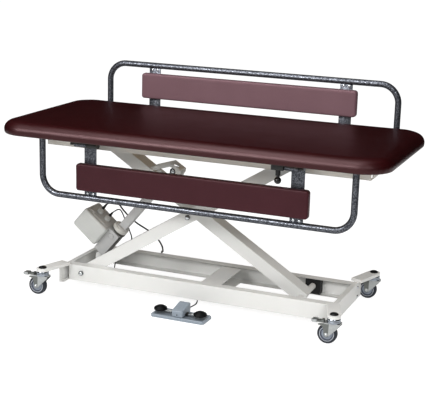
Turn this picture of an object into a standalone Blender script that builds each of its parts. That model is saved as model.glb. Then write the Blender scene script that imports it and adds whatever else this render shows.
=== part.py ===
"""Electric changing table on casters: a scissor lift with an actuator, a padded top and two flip guards.

Metres, +Z up, floor at z = 0, the long side along X, the front towards -Y.
Every piece is its own named object, and each moving piece hangs from an empty on its joint's axis.
"""

import math

import bmesh
import bpy
from mathutils import Matrix, Vector

# Fits
GAP = 0.0003
SLIDE_FIT = 0.0004
SIDE_FIT = 0.002
WELD = 0.001

# Padded top
TOP_LENGTH = 1.570
TOP_WIDTH = 0.700
TOP_CORNER_RADIUS = 0.110
CUSHION_THICKNESS = 0.0565
CUSHION_EDGE_ROLL = 0.042
CUSHION_CROWN = 0.005
BOARD_THICKNESS = 0.018
BOARD_INSET = 0.010

# Frame channels, the same span at the base and under the top
CHANNEL_SPAN = 0.314
CHANNEL_WALL = 0.003
BASE_LENGTH = 1.160
BASE_CHANNEL_HEIGHT = 0.067
BASE_FLANGE = 0.039
END_FLANGE = 0.020
END_WIDTH = 0.400
CROSS_MEMBER_LOW_X = 0.010
CROSS_MEMBER_LENGTH = 0.085
TOP_OVERHANG = 0.116
TOP_CHANNEL_CENTRE_X = 0.015
TOP_CHANNEL_HEIGHT = 0.061
TOP_FLANGE = 0.033
END_BAR_THICKNESS = 0.004

# Casters
CASTER_HEIGHT = 0.1003
CASTER_OUTREACH = 0.0297
CASTER_Y = 0.2809
WHEEL_DIAMETER = 0.075
WHEEL_WIDTH = 0.026
WHEEL_TRAIL = 0.0216
HUB_DIAMETER = 0.054
AXLE_DIAMETER = 0.009
CHEEK_THICKNESS = 0.003
CROWN_THICKNESS = 0.004
CROWN_BACK = 0.028
RACE_DIAMETER = 0.046
CASTER_ARM_WIDTH = 0.050
CASTER_ARM_THICKNESS = 0.012
CASTER_ARM_ROOT_INSET = 0.010
CASTER_ARM_ROOT_Y = 0.160
BRAKE_LENGTH = 0.056
BRAKE_WIDTH = 0.026
BRAKE_THICKNESS = 0.005

# Scissor lift at rest
LIFT_ANGLE = math.radians(32.1)
LOWER_HALF = 0.534
UPPER_HALF = 0.508
BASE_PIVOT_INSET = 0.078
BASE_PIVOT_HEIGHT = 0.070
ARM_DEPTH = 0.050
OUTER_ARM_WIDTH = 0.025
OUTER_ARM_WALL = 0.0025
INNER_ARM_WIDTH = 0.068
INNER_ARM_WALL = 0.004
ARM_END_OVERHANG = 0.015
PIN_DIAMETER = 0.014
SHAFT_DIAMETER = 0.025
BRACE_DIAMETER = 0.030
BRACE_FROM_CENTRE = 0.400
HEAD_DIAMETER = 0.020
HEAD_HEIGHT = 0.006
BLOCK_LENGTH = 0.062

# Actuator, in the middle plane
ACTUATOR_INSET = 0.085
ACTUATOR_BASE_Z = 0.110
LUG_ALONG_ARM = 0.1762
LUG_PIN_OFFSET = 0.0714
LUG_TOP_OFFSET = 0.0985
LUG_FRONT = 0.0330
LUG_TOP_BACK = 0.0265
LUG_HEEL = 0.0850
LUG_CORNER = 0.010
LUG_INNER_WIDTH = 0.046
LUG_WALL = 0.004
LUG_STRAP = 0.003
SLOT_LENGTH = 0.122
SLOT_WIDTH = 0.034
MOTOR_START = 0.038
MOTOR_LENGTH = 0.096
MOTOR_DEPTH = 0.130
MOTOR_WIDTH = 0.124
GEAR_START = 0.019
GEAR_BELOW = 0.016
GEAR_ABOVE = 0.036
GEAR_WIDTH = 0.066
COLLAR_LENGTH = 0.042
COLLAR_DIAMETER = 0.062
TUBE_DIAMETER = 0.034
TUBE_END = 0.360
ROD_DIAMETER = 0.020
ROD_START = 0.270
EYE_DIAMETER = 0.026
EYE_WIDTH = 0.040
CLEVIS_WIDTH = 0.030
EAR_THICKNESS = 0.006
EAR_RADIUS = 0.014
MOUNT_WIDTH = 0.120
GLAND_DIAMETER = 0.019
GLAND_LENGTH = 0.024
GLAND_OFFSETS = (0.121, 0.079)

# Flip guards
GUARD_PIVOT_INSET = 0.060
GUARD_PIVOT_BELOW_TOP = 0.016
GUARD_REACH = 0.2305
GUARD_OFFSET = 0.0765
GUARD_END_INSET = 0.1412
GUARD_TUBE_DIAMETER = 0.0254
GUARD_TUBE_WALL = 0.0018
GUARD_BEND_RADIUS = 0.075
UPRIGHT_FROM_LEG = 0.2163
UPRIGHT_WIDTH = 0.052
UPRIGHT_THICKNESS = 0.005
GUARD_PIN_DIAMETER = 0.012
PIVOT_BLOCK_LENGTH = 0.048
PIVOT_BLOCK_HEIGHT = 0.022
PIVOT_BLOCK_DEPTH = 0.030
BRACKET_THICKNESS = 0.004
PAD_PAST_UPRIGHT = 0.0515
PAD_HEIGHT = 0.110
PAD_THICKNESS = 0.028
PAD_FROM_PIVOT = 0.144
PAD_CORNER_RADIUS = 0.012
PLUNGER_DIAMETER = 0.011
PLUNGER_LENGTH = 0.038
KNOB_DIAMETER = 0.026

# Foot switch
SWITCH_X = 0.001
SWITCH_Y = -0.276
SWITCH_LENGTH = 0.222
SWITCH_WIDTH = 0.088
SWITCH_THICKNESS = 0.012
SWITCH_CHAMFER = 0.008
COVER_WIDTH = 0.046
COVER_LENGTH = 0.080
COVER_FRONT_HEIGHT = 0.027
COVER_BACK_HEIGHT = 0.040
PEDAL_DIAMETER = 0.052
PEDAL_REACH = 0.060
PEDAL_HEIGHT = 0.019
LINK_WIDTH = 0.014
LINK_THICKNESS = 0.003
LINK_HEIGHT = 0.010

# Leads
MAINS_DIAMETER = 0.0068
CORD_DIAMETER = 0.0052
COIL_CENTRE_X = -0.250
COIL_CENTRE_Y = 0.326
COIL_INNER_RADIUS = 0.027
COIL_TURNS_PER_LAYER = 3.125
COIL_TURN_GAP = 0.0008
COIL_TAIL = 0.080
PLUG_LENGTH = 0.044
PLUG_WIDTH = 0.034
PLUG_HEIGHT = 0.015

# Worked-out levels and places
CHANNEL_Y = CHANNEL_SPAN / 2
TOP_CHANNEL_LENGTH = TOP_LENGTH - 2 * TOP_OVERHANG
BASE_END_X = BASE_LENGTH / 2
CASTER_X = BASE_END_X + CASTER_OUTREACH
CASTER_ARM_ROOT_X = BASE_END_X - CASTER_ARM_ROOT_INSET
BASE_PIVOT_X = BASE_PIVOT_INSET - BASE_END_X
ACTUATOR_BASE_X = ACTUATOR_INSET - BASE_END_X
GUARD_PIVOT_Y = TOP_WIDTH / 2 - GUARD_PIVOT_INSET
GUARD_HALF_LENGTH = TOP_LENGTH / 2 - GUARD_END_INSET
UPRIGHT_CENTRE_X = GUARD_HALF_LENGTH - UPRIGHT_FROM_LEG
PAD_LENGTH = 2 * (UPRIGHT_CENTRE_X + PAD_PAST_UPRIGHT)
BASE_HIGH = CASTER_HEIGHT + WELD
BASE_LOW = BASE_HIGH - BASE_CHANNEL_HEIGHT
ARM_OUTER_Y = CHANNEL_Y - BASE_FLANGE - SIDE_FIT
ARM_INNER_Y = ARM_OUTER_Y - OUTER_ARM_WIDTH
ARM_ALONG = Vector((math.cos(LIFT_ANGLE), 0, math.sin(LIFT_ANGLE)))
BASE_PIVOT = Vector((BASE_PIVOT_X, 0, BASE_PIVOT_HEIGHT))
CENTRE = BASE_PIVOT + LOWER_HALF * ARM_ALONG
MIRRORED_ALONG = Vector((-ARM_ALONG.x, 0, ARM_ALONG.z))
UPPER_SLIDE = CENTRE + UPPER_HALF * ARM_ALONG
UPPER_PIVOT = CENTRE + UPPER_HALF * MIRRORED_ALONG
LOWER_SLIDE = CENTRE - LOWER_HALF * MIRRORED_ALONG
TOP_CHANNEL_LOW = UPPER_PIVOT.z - TOP_CHANNEL_HEIGHT / 2
TOP_CHANNEL_HIGH = UPPER_PIVOT.z + TOP_CHANNEL_HEIGHT / 2
TOP_LOW = TOP_CHANNEL_HIGH + GAP
GUARD_PIVOT_Z = TOP_LOW - GUARD_PIVOT_BELOW_TOP
INNER_ARM_NORMAL = Vector((math.sin(LIFT_ANGLE), 0, math.cos(LIFT_ANGLE)))
ROD_PIN = CENTRE + LUG_ALONG_ARM * MIRRORED_ALONG + LUG_PIN_OFFSET * INNER_ARM_NORMAL
ACTUATOR_BASE = Vector((ACTUATOR_BASE_X, 0, ACTUATOR_BASE_Z))
ACTUATOR_SPAN = ROD_PIN - ACTUATOR_BASE
ACTUATOR_ANGLE = math.atan2(ACTUATOR_SPAN.z, ACTUATOR_SPAN.x)
GUARD_DEPTH = GUARD_PIVOT_Y + GUARD_OFFSET + GUARD_TUBE_DIAMETER / 2
CENTRE_SHIFT = (TOP_WIDTH / 2 - GUARD_DEPTH) / 2

# Colour (linear), roughness and metallic value of each finish
FINISHES = {
    "cream_paint": ((0.82, 0.81, 0.76), 0.40, 0.0),
    "maroon_vinyl": ((0.075, 0.008, 0.010), 0.45, 0.0),
    "grey_hammer_paint": ((0.11, 0.11, 0.12), 0.38, 0.3),
    "black_plastic": ((0.012, 0.012, 0.013), 0.50, 0.0),
    "zinc": ((0.62, 0.62, 0.62), 0.35, 1.0),
    "bright_steel": ((0.75, 0.75, 0.76), 0.20, 1.0),
    "grey_tyre": ((0.045, 0.050, 0.058), 0.70, 0.0),
    "blue_grey_plastic": ((0.27, 0.32, 0.38), 0.50, 0.0),
    "light_grey_plastic": ((0.45, 0.46, 0.47), 0.50, 0.0),
    "dark_grey_plastic": ((0.16, 0.16, 0.17), 0.50, 0.0),
    "plywood": ((0.42, 0.28, 0.15), 0.70, 0.0),
    "black_rubber": ((0.010, 0.010, 0.010), 0.60, 0.0),
}

AXES = {"x": (1, 2, 0), "y": (2, 0, 1), "z": (0, 1, 2)}


def clear_scene():
    for item in list(bpy.data.objects):
        bpy.data.objects.remove(item)


def axis_empty(name, point, parent):
    """An empty on a joint's axis; its pieces are drawn in table coordinates and hung from it."""
    empty = bpy.data.objects.new(name, None)
    bpy.context.collection.objects.link(empty)
    empty["point"] = tuple(point)
    empty.parent = parent
    if parent is None:
        empty.location = point
    else:
        empty.location = Vector(point) - Vector(parent["point"])
    return empty


def own_material(name, finish):
    colour, roughness, metallic = FINISHES[finish]
    material = bpy.data.materials.new(name + "_finish")
    material.use_nodes = True
    shader = material.node_tree.nodes["Principled BSDF"]
    shader.inputs["Base Color"].default_value = (*colour, 1)
    shader.inputs["Roughness"].default_value = roughness
    shader.inputs["Metallic"].default_value = metallic
    material.diffuse_color = (*colour, 1)
    return material


def add_object(name, shape, finish, parent):
    """Turn a shape drawn in table coordinates into an object under its joint's empty."""
    bmesh.ops.recalc_face_normals(shape, faces=shape.faces)
    bmesh.ops.translate(shape, verts=shape.verts, vec=-Vector(parent["point"]))
    mesh = bpy.data.meshes.new(name)
    shape.to_mesh(mesh)
    shape.free()
    mesh.shade_smooth()
    mesh.set_sharp_from_angle(angle=math.radians(35))
    item = bpy.data.objects.new(name, mesh)
    bpy.context.collection.objects.link(item)
    item.parent = parent
    if finish:
        mesh.materials.append(own_material(name, finish))
    return item


def point_on(axis, first, second, along):
    order = AXES[axis]
    point = [0, 0, 0]
    point[order[0]] = first
    point[order[1]] = second
    point[order[2]] = along
    return Vector(point)


def add_prism(shape, outline, axis, low, high):
    """Extrude an outline, given in the two other axes in order, along an axis."""
    bottom = [shape.verts.new(point_on(axis, a, b, low)) for a, b in outline]
    top = [shape.verts.new(point_on(axis, a, b, high)) for a, b in outline]
    count = len(outline)
    shape.faces.new(bottom)
    shape.faces.new(top)
    for here in range(count):
        there = (here + 1) % count
        shape.faces.new((bottom[here], bottom[there], top[there], top[here]))


def add_box(shape, x, y, z):
    add_prism(shape, [(x[0], y[0]), (x[1], y[0]), (x[1], y[1]), (x[0], y[1])], "z", z[0], z[1])


def add_lathe(shape, centre, axis, profile, sides=24, closed=False):
    """Turn (radius, along) points about an axis; a closed profile makes a ring."""
    order = AXES[axis]
    rings = []
    for radius, along in profile:
        ring = []
        for step in range(sides if radius > 0 else 1):
            angle = math.tau * step / sides
            offset = point_on(axis, radius * math.cos(angle), radius * math.sin(angle), 0)
            position = Vector(centre) + offset
            position[order[2]] += along
            ring.append(shape.verts.new(position))
        rings.append(ring)
    pairs = list(zip(rings, rings[1:]))
    if closed:
        pairs.append((rings[-1], rings[0]))
    for inner, outer in pairs:
        for step in range(sides):
            after = (step + 1) % sides
            corners = [inner[step % len(inner)], inner[after % len(inner)]]
            corners += [outer[after % len(outer)], outer[step % len(outer)]]
            shape.faces.new(list(dict.fromkeys(corners)))


def add_rod(shape, centre, axis, diameter, low, high, sides=24):
    radius = diameter / 2
    add_lathe(shape, centre, axis, [(0, low), (radius, low), (radius, high), (0, high)], sides)


def single(adder, *values, **options):
    shape = bmesh.new()
    adder(shape, *values, **options)
    return shape


def combine(item, shape, name, operation):
    """Cut a hidden shape, drawn in table coordinates, out of an object, or weld it on."""
    helper = add_object(name, shape, None, item.parent)
    helper.hide_render = True
    helper.display_type = "WIRE"
    modifier = item.modifiers.new(name, "BOOLEAN")
    modifier.object = helper
    modifier.operation = operation
    modifier.solver = "EXACT"


def cut(item, shape, name):
    combine(item, shape, name, "DIFFERENCE")


def weld(item, shape, name):
    combine(item, shape, name, "UNION")


def round_edges(item, width, segments=2):
    modifier = item.modifiers.new("rounded_edges", "BEVEL")
    modifier.width = width
    modifier.segments = segments
    modifier.limit_method = "ANGLE"
    modifier.angle_limit = math.radians(40)


def turn_about(shape, point, angle):
    """Tip a shape in the XZ plane; a positive angle raises its +X end."""
    centre = Matrix.Translation(Vector(point))
    turned = centre @ Matrix.Rotation(-angle, 4, "Y") @ centre.inverted()
    bmesh.ops.transform(shape, matrix=turned, verts=shape.verts)


def smooth_route(points, spacing):
    """Points a given distance apart on a smooth curve through the route's own points."""
    knots = [Vector(point) for point in points]
    knots = [2 * knots[0] - knots[1]] + knots + [2 * knots[-1] - knots[-2]]
    fine = []
    for first, second, third, fourth in zip(knots, knots[1:], knots[2:], knots[3:]):
        for step in range(40):
            t = step / 40
            linear = (third - first) * t
            square = (2 * first - 5 * second + 4 * third - fourth) * t * t
            cube = (3 * second - first - 3 * third + fourth) * t ** 3
            fine.append(second + (linear + square + cube) / 2)
    fine.append(knots[-2])
    length = sum((b - a).length for a, b in zip(fine, fine[1:]))
    count = max(8, round(length / spacing))
    route = [fine[0]]
    travelled = 0
    for before, after in zip(fine, fine[1:]):
        travelled += (after - before).length
        if travelled >= length * len(route) / count and len(route) < count:
            route.append(after)
    route.append(fine[-1])
    return route


def add_cord(name, route, diameter, resolution, finish, parent):
    curve = bpy.data.curves.new(name, "CURVE")
    curve.dimensions = "3D"
    curve.bevel_depth = diameter / 2
    curve.bevel_resolution = resolution
    curve.use_fill_caps = True
    curve.render_resolution_u = 0
    spline = curve.splines.new("POLY")
    spline.points.add(len(route) - 1)
    for point, position in zip(spline.points, route):
        point.co = (*(position - Vector(parent["point"])), 1)
    curve.materials.append(own_material(name, finish))
    item = bpy.data.objects.new(name, curve)
    bpy.context.collection.objects.link(item)
    item.parent = parent
    return item


def rounded_rectangle(half_length, half_width, radius, corner_steps, long_steps, short_steps):
    """Points round a rectangle with rounded corners, the same count for every size."""
    points = []
    runs = ((1, 1, 0, long_steps), (-1, 1, 90, short_steps),
            (-1, -1, 180, long_steps), (1, -1, 270, short_steps))
    for side_x, side_y, start, steps in runs:
        centre = Vector((side_x * (half_length - radius), side_y * (half_width - radius)))
        for step in range(corner_steps + 1):
            angle = math.radians(start + 90 * step / corner_steps)
            points.append(centre + radius * Vector((math.cos(angle), math.sin(angle))))
        turn = math.radians(start + 90)
        along = Vector((-math.sin(turn), math.cos(turn)))
        run = 2 * ((half_length if steps == long_steps else half_width) - radius)
        last = points[-1]
        for step in range(1, steps):
            points.append(last + along * run * step / steps)
    return points


def add_stack(shape, rings):
    """Close a pile of rings, each a list of places, with flat ends."""
    loops = [[shape.verts.new(place) for place in ring] for ring in rings]
    shape.faces.new(loops[0])
    shape.faces.new(loops[-1])
    count = len(loops[0])
    for lower, upper in zip(loops, loops[1:]):
        for here in range(count):
            there = (here + 1) % count
            shape.faces.new((lower[here], lower[there], upper[there], upper[here]))


def channel_outline(outer, side, flange, low, high, wall):
    """A folded channel seen along X: its web at the outer face, its flanges towards the middle."""
    web = outer - side * wall
    tip = outer - side * flange
    return [
        (outer, low), (outer, high), (tip, high), (tip, high - wall),
        (web, high - wall), (web, low + wall), (tip, low + wall), (tip, low),
    ]


def build_base(base):
    inner_x = BASE_LENGTH / 2 - END_FLANGE - GAP
    for name, side in (("front", -1), ("back", 1)):
        outline = channel_outline(side * CHANNEL_Y, side, BASE_FLANGE, BASE_LOW, BASE_HIGH, CHANNEL_WALL)
        shape = single(add_prism, outline, "x", -inner_x, inner_x)
        channel = add_object(f"base_{name}_channel", shape, "cream_paint", base)
        hole = single(add_rod, (BASE_PIVOT_X, side * CHANNEL_Y, BASE_PIVOT_HEIGHT), "y",
                      PIN_DIAMETER + 2 * GAP, -2 * CHANNEL_WALL, 2 * CHANNEL_WALL)
        cut(channel, hole, f"base_{name}_pin_hole")
        head = side * (CHANNEL_Y + GAP)
        tip = side * (ARM_INNER_Y + GAP)
        outer = head + side * HEAD_HEIGHT
        profile = [(0, outer), (HEAD_DIAMETER / 2, outer), (HEAD_DIAMETER / 2, head),
                   (PIN_DIAMETER / 2, head), (PIN_DIAMETER / 2, tip), (0, tip)]
        add_object(f"base_{name}_pivot_pin", single(add_lathe, BASE_PIVOT, "y", profile, 20), "zinc", base)
    for name, side in (("base_left_end", -1), ("base_right_end", 1)):
        outline = channel_outline(side * BASE_LENGTH / 2, side, END_FLANGE, BASE_LOW, BASE_HIGH, CHANNEL_WALL)
        outline = [(height, across) for across, height in outline]
        shape = single(add_prism, outline, "y", -END_WIDTH / 2, END_WIDTH / 2)
        end = add_object(name, shape, "cream_paint", base)
        for side_y in (-1, 1):
            weld(end, caster_arm(side, side_y), f"{name}_arm_{side_y}")
    build_cross_member(base)
    build_actuator_mount(base)


def caster_arm(side_x, side_y):
    """A flat tongue with a round tip, from the base's end out to a caster."""
    tip = Vector((side_x * CASTER_X, side_y * CASTER_Y))
    root = Vector((side_x * CASTER_ARM_ROOT_X, side_y * CASTER_ARM_ROOT_Y))
    along = (tip - root).normalized()
    across = Vector((-along.y, along.x)) * CASTER_ARM_WIDTH / 2
    outline = [root - across, root + across]
    for step in range(11):
        angle = math.pi * step / 10
        outline.append(tip + across * math.cos(angle) + along * CASTER_ARM_WIDTH / 2 * math.sin(angle))
    places = [tuple(point) for point in outline]
    return single(add_prism, places, "z", CASTER_HEIGHT, CASTER_HEIGHT + CASTER_ARM_THICKNESS)


def build_cross_member(base):
    """A folded channel between the base channels, open towards +X."""
    low_x = CROSS_MEMBER_LOW_X
    high_x = low_x + CROSS_MEMBER_LENGTH
    low = BASE_LOW + CHANNEL_WALL + GAP
    high = BASE_HIGH - CHANNEL_WALL - GAP - SIDE_FIT
    outline = channel_outline(low_x, -1, high_x - low_x, low, high, CHANNEL_WALL)
    outline = [(height, across) for across, height in outline]
    half = CHANNEL_Y - BASE_FLANGE - GAP
    add_object("base_cross_member", single(add_prism, outline, "y", -half, half), "cream_paint", base)


def build_actuator_mount(base):
    """A plate from the base's left end with two round-topped ears beside the actuator's lower pin."""
    half = MOUNT_WIDTH / 2
    floor = BASE_LOW + CHANNEL_WALL
    start = GAP + END_FLANGE - BASE_LENGTH / 2
    shape = single(add_box, (start, ACTUATOR_BASE_X + 2 * EAR_RADIUS), (-half, half), (BASE_LOW, floor))
    mount = add_object("actuator_mount", shape, "cream_paint", base)
    ear = [(floor - WELD, ACTUATOR_BASE_X - EAR_RADIUS), (floor - WELD, ACTUATOR_BASE_X + EAR_RADIUS)]
    for step in range(9):
        angle = math.pi * step / 8
        ear.append((ACTUATOR_BASE_Z + EAR_RADIUS * math.sin(angle),
                    ACTUATOR_BASE_X + EAR_RADIUS * math.cos(angle)))
    inside = CLEVIS_WIDTH / 2 + SLIDE_FIT
    for name, low_y in (("front_ear", -inside - EAR_THICKNESS), ("back_ear", inside)):
        weld(mount, single(add_prism, ear, "y", low_y, low_y + EAR_THICKNESS), "actuator_mount_" + name)


def build_caster(corner, side_x, side_y, root):
    """Race and fork, tyre and hub, each on its own axis; the front casters have a brake pedal."""
    stem = Vector((side_x * CASTER_X, side_y * CASTER_Y, 0))
    axle = stem + Vector((-WHEEL_TRAIL, 0, WHEEL_DIAMETER / 2))
    swivel = axis_empty("swivel_axis_" + corner, stem, root)
    wheel = axis_empty("wheel_axis_" + corner, axle, swivel)
    slot_half = WHEEL_WIDTH / 2 + SIDE_FIT
    crown_low = WHEEL_DIAMETER + 0.003
    crown_high = crown_low + CROWN_THICKNESS
    boss = AXLE_DIAMETER * 1.3
    outline = [(crown_low - 0.006, stem.x + 0.024), (crown_high, stem.x + 0.026),
               (crown_high, stem.x - CROWN_BACK), (crown_low - 0.006, stem.x - CROWN_BACK)]
    for step in range(7):
        angle = math.radians(170 + 180 * step / 6)
        outline.append((axle.z + boss * math.sin(angle), axle.x + boss * math.cos(angle)))
    half = slot_half + CHEEK_THICKNESS
    shape = single(add_prism, outline, "y", stem.y - half, stem.y + half)
    fork = add_object("caster_fork_" + corner, shape, "zinc", swivel)
    slot = single(add_box, (axle.x - 0.06, axle.x + 0.08), (stem.y - slot_half, stem.y + slot_half),
                  (-0.01, crown_low))
    cut(fork, slot, "caster_slot_" + corner)
    race = single(add_rod, (stem.x, stem.y, 0), "z", RACE_DIAMETER,
                  crown_high - WELD, CASTER_HEIGHT - GAP, 24)
    weld(fork, race, "caster_race_" + corner)
    reach = slot_half + WELD
    weld(fork, single(add_rod, axle, "y", AXLE_DIAMETER, -reach, reach, 12), "caster_axle_" + corner)
    radius = WHEEL_DIAMETER / 2
    half_wide = WHEEL_WIDTH / 2
    rim = HUB_DIAMETER / 2
    bore = AXLE_DIAMETER / 2 + GAP
    side = [(radius, half_wide * 0.35), (radius * 0.97, half_wide * 0.8), (radius * 0.90, half_wide),
            (rim, half_wide * 0.85), (rim * 0.94, half_wide * 0.62), (rim * 0.42, half_wide * 0.62),
            (rim * 0.34, half_wide), (bore, half_wide)]
    profile = side + [(across, -along) for across, along in reversed(side)]
    shape = single(add_lathe, axle, "y", profile, 24, closed=True)
    add_object("caster_wheel_" + corner, shape, "grey_tyre", wheel)
    if side_y < 0:
        hinge = Vector((stem.x - CROWN_BACK - GAP, stem.y, crown_low + BRAKE_THICKNESS / 2))
        brake = axis_empty("brake_axis_" + corner, hinge, swivel)
        tip = hinge.x - BRAKE_LENGTH
        low = hinge.z - BRAKE_THICKNESS / 2
        high = hinge.z + BRAKE_THICKNESS / 2
        outline = [(low, hinge.x - 3 * GAP), (low, tip + 0.012), (low + 0.006, tip), (high + 0.006, tip),
                   (high, tip + 0.013), (high, hinge.x)]
        shape = single(add_prism, outline, "y", stem.y - BRAKE_WIDTH / 2, stem.y + BRAKE_WIDTH / 2)
        add_object("brake_pedal_" + corner, shape, "zinc", brake)


def build_outer_arms(lift):
    """Two box-section arms with a stub axle at each upper end, the brace and the centre shaft."""
    tip = CHANNEL_Y - CHANNEL_WALL - GAP - SIDE_FIT
    reach = ARM_OUTER_Y + 0.01
    for name, side in (("outer_arm_front", -1), ("outer_arm_back", 1)):
        shape = box_section(sorted((side * ARM_INNER_Y, side * ARM_OUTER_Y)))
        turn_about(shape, BASE_PIVOT, LIFT_ANGLE)
        arm = add_object(name, shape, "cream_paint", lift)
        holes = bmesh.new()
        for place in (BASE_PIVOT, CENTRE):
            add_rod(holes, place, "y", PIN_DIAMETER + 2 * GAP, -reach, reach, 20)
        cut(arm, holes, name + "_holes")
        ends = sorted((side * (ARM_INNER_Y + WELD), side * tip))
        weld(arm, single(add_rod, UPPER_SLIDE, "y", PIN_DIAMETER, ends[0], ends[1], 20), name + "_stub")
    brace = CENTRE + BRACE_FROM_CENTRE * ARM_ALONG
    inside = ARM_INNER_Y - GAP
    add_object("outer_arm_brace", single(add_rod, brace, "y", BRACE_DIAMETER, -inside, inside, 20),
               "cream_paint", lift)
    head = ARM_OUTER_Y + GAP
    wide = HEAD_DIAMETER / 2
    thin = PIN_DIAMETER / 2
    inside = INNER_ARM_WIDTH / 2 + GAP
    steps = [(0, head + HEAD_HEIGHT), (wide, head + HEAD_HEIGHT), (wide, head), (thin, head),
             (thin, ARM_INNER_Y - GAP), (wide, ARM_INNER_Y - GAP), (wide, inside), (thin, inside)]
    profile = [(radius, -along) for radius, along in steps] + list(reversed(steps))
    add_object("centre_shaft", single(add_lathe, CENTRE, "y", profile, 20), "zinc", lift)


def box_section(span_y):
    """An open-ended box section lying along +X from the base pivot."""
    shape = bmesh.new()
    half = ARM_DEPTH / 2
    wall = OUTER_ARM_WALL
    low_y, high_y = span_y
    outer = [(low_y, -half), (high_y, -half), (high_y, half), (low_y, half)]
    inner = [(low_y + wall, wall - half), (high_y - wall, wall - half),
             (high_y - wall, half - wall), (low_y + wall, half - wall)]
    loops = []
    for along in (-ARM_END_OVERHANG, LOWER_HALF + UPPER_HALF + ARM_END_OVERHANG):
        for outline in (outer, inner):
            places = [BASE_PIVOT + Vector((along, y, z)) for y, z in outline]
            loops.append([shape.verts.new(place) for place in places])
    outer_start, inner_start, outer_end, inner_end = loops
    for here in range(4):
        there = (here + 1) % 4
        shape.faces.new((outer_start[here], outer_start[there], outer_end[there], outer_end[here]))
        shape.faces.new((inner_start[here], inner_end[here], inner_end[there], inner_start[there]))
        shape.faces.new((outer_start[here], inner_start[here], inner_start[there], outer_start[there]))
        shape.faces.new((outer_end[here], outer_end[there], inner_end[there], inner_end[here]))
    return shape


def build_inner_arm(inner):
    """A folded channel, open below, with a slot in its top for the actuator's rod."""
    half = INNER_ARM_WIDTH / 2
    depth = ARM_DEPTH / 2
    wall = INNER_ARM_WALL
    outline = [(-half, -depth), (wall - half, -depth), (wall - half, depth - wall),
               (half - wall, depth - wall), (half - wall, -depth), (half, -depth),
               (half, depth), (-half, depth)]
    places = [(CENTRE.y + y, CENTRE.z + z) for y, z in outline]
    low = CENTRE.x - UPPER_HALF - ARM_END_OVERHANG
    high = CENTRE.x + LOWER_HALF + ARM_END_OVERHANG
    shape = single(add_prism, places, "x", low, high)
    turn_about(shape, CENTRE, -LIFT_ANGLE)
    arm = add_object("inner_arm", shape, "cream_paint", inner)
    holes = bmesh.new()
    bores = ((LOWER_SLIDE, SHAFT_DIAMETER), (CENTRE, PIN_DIAMETER), (UPPER_PIVOT, PIN_DIAMETER))
    for place, diameter in bores:
        add_rod(holes, place, "y", diameter + 2 * GAP, -half - 0.01, half + 0.01, 24)
    slot_x = CENTRE.x - LUG_ALONG_ARM
    slot = single(add_box, (slot_x - SLOT_LENGTH / 2, slot_x + SLOT_LENGTH / 2),
                  (-SLOT_WIDTH / 2, SLOT_WIDTH / 2), (CENTRE.z + depth - 2 * wall, CENTRE.z + depth + wall))
    turn_about(slot, CENTRE, -LIFT_ANGLE)
    cut(arm, holes, "inner_arm_holes")
    cut(arm, slot, "inner_arm_slot")
    tip = CHANNEL_Y - CHANNEL_WALL - GAP - SIDE_FIT
    add_object("lower_shaft", single(add_rod, LOWER_SLIDE, "y", SHAFT_DIAMETER, -tip, tip, 24),
               "cream_paint", inner)
    build_lug(inner)


def build_lug(inner):
    """Two cheeks joined by a strap over the rod's eye, standing on the inner arm."""
    base = ARM_DEPTH / 2 + GAP
    inside = LUG_INNER_WIDTH / 2
    outside = inside + LUG_WALL
    front = [(LUG_FRONT, base), (LUG_FRONT, LUG_TOP_OFFSET - LUG_CORNER),
             (LUG_FRONT - LUG_CORNER * 0.6, LUG_TOP_OFFSET)]
    back = [(-LUG_TOP_BACK, LUG_TOP_OFFSET), (LUG_CORNER / 2 - LUG_HEEL, base + LUG_CORNER),
            (-LUG_HEEL, base)]
    lug_x = CENTRE.x - LUG_ALONG_ARM
    cheek = [(CENTRE.z + up, lug_x + along) for along, up in front + back]
    shape = single(add_prism, cheek, "y", -outside, outside)
    turn_about(shape, CENTRE, -LIFT_ANGLE)
    lug = add_object("actuator_lug", shape, "cream_paint", inner)
    strap_low = CENTRE.z + LUG_TOP_OFFSET - LUG_STRAP
    space = single(add_box, (lug_x - LUG_HEEL - LUG_CORNER, lug_x + LUG_FRONT + LUG_CORNER),
                   (-inside, inside), (CENTRE.z, strap_low))
    turn_about(space, CENTRE, -LIFT_ANGLE)
    cut(lug, space, "actuator_lug_space")


def build_slide_blocks(level, place, middle, channel_height, bore, parent):
    """Two black blocks that slide in a pair of channels, each with a bore for its shaft."""
    half_height = channel_height / 2 - CHANNEL_WALL - SLIDE_FIT
    far = CHANNEL_Y - CHANNEL_WALL - SLIDE_FIT
    near = ARM_OUTER_Y + SIDE_FIT
    span = (place.x - BLOCK_LENGTH / 2, place.x + BLOCK_LENGTH / 2)
    for side_name, side in (("front", -1), ("back", 1)):
        name = f"{level}_slide_block_{side_name}"
        shape = single(add_box, span, sorted((side * near, side * far)),
                       (middle - half_height, middle + half_height))
        block = add_object(name, shape, "black_plastic", parent)
        ends = sorted((side * (near - 0.01), side * (far - SIDE_FIT + GAP)))
        cut(block, single(add_rod, place, "y", bore + 2 * GAP, ends[0], ends[1], 24), name + "_bore")


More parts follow.
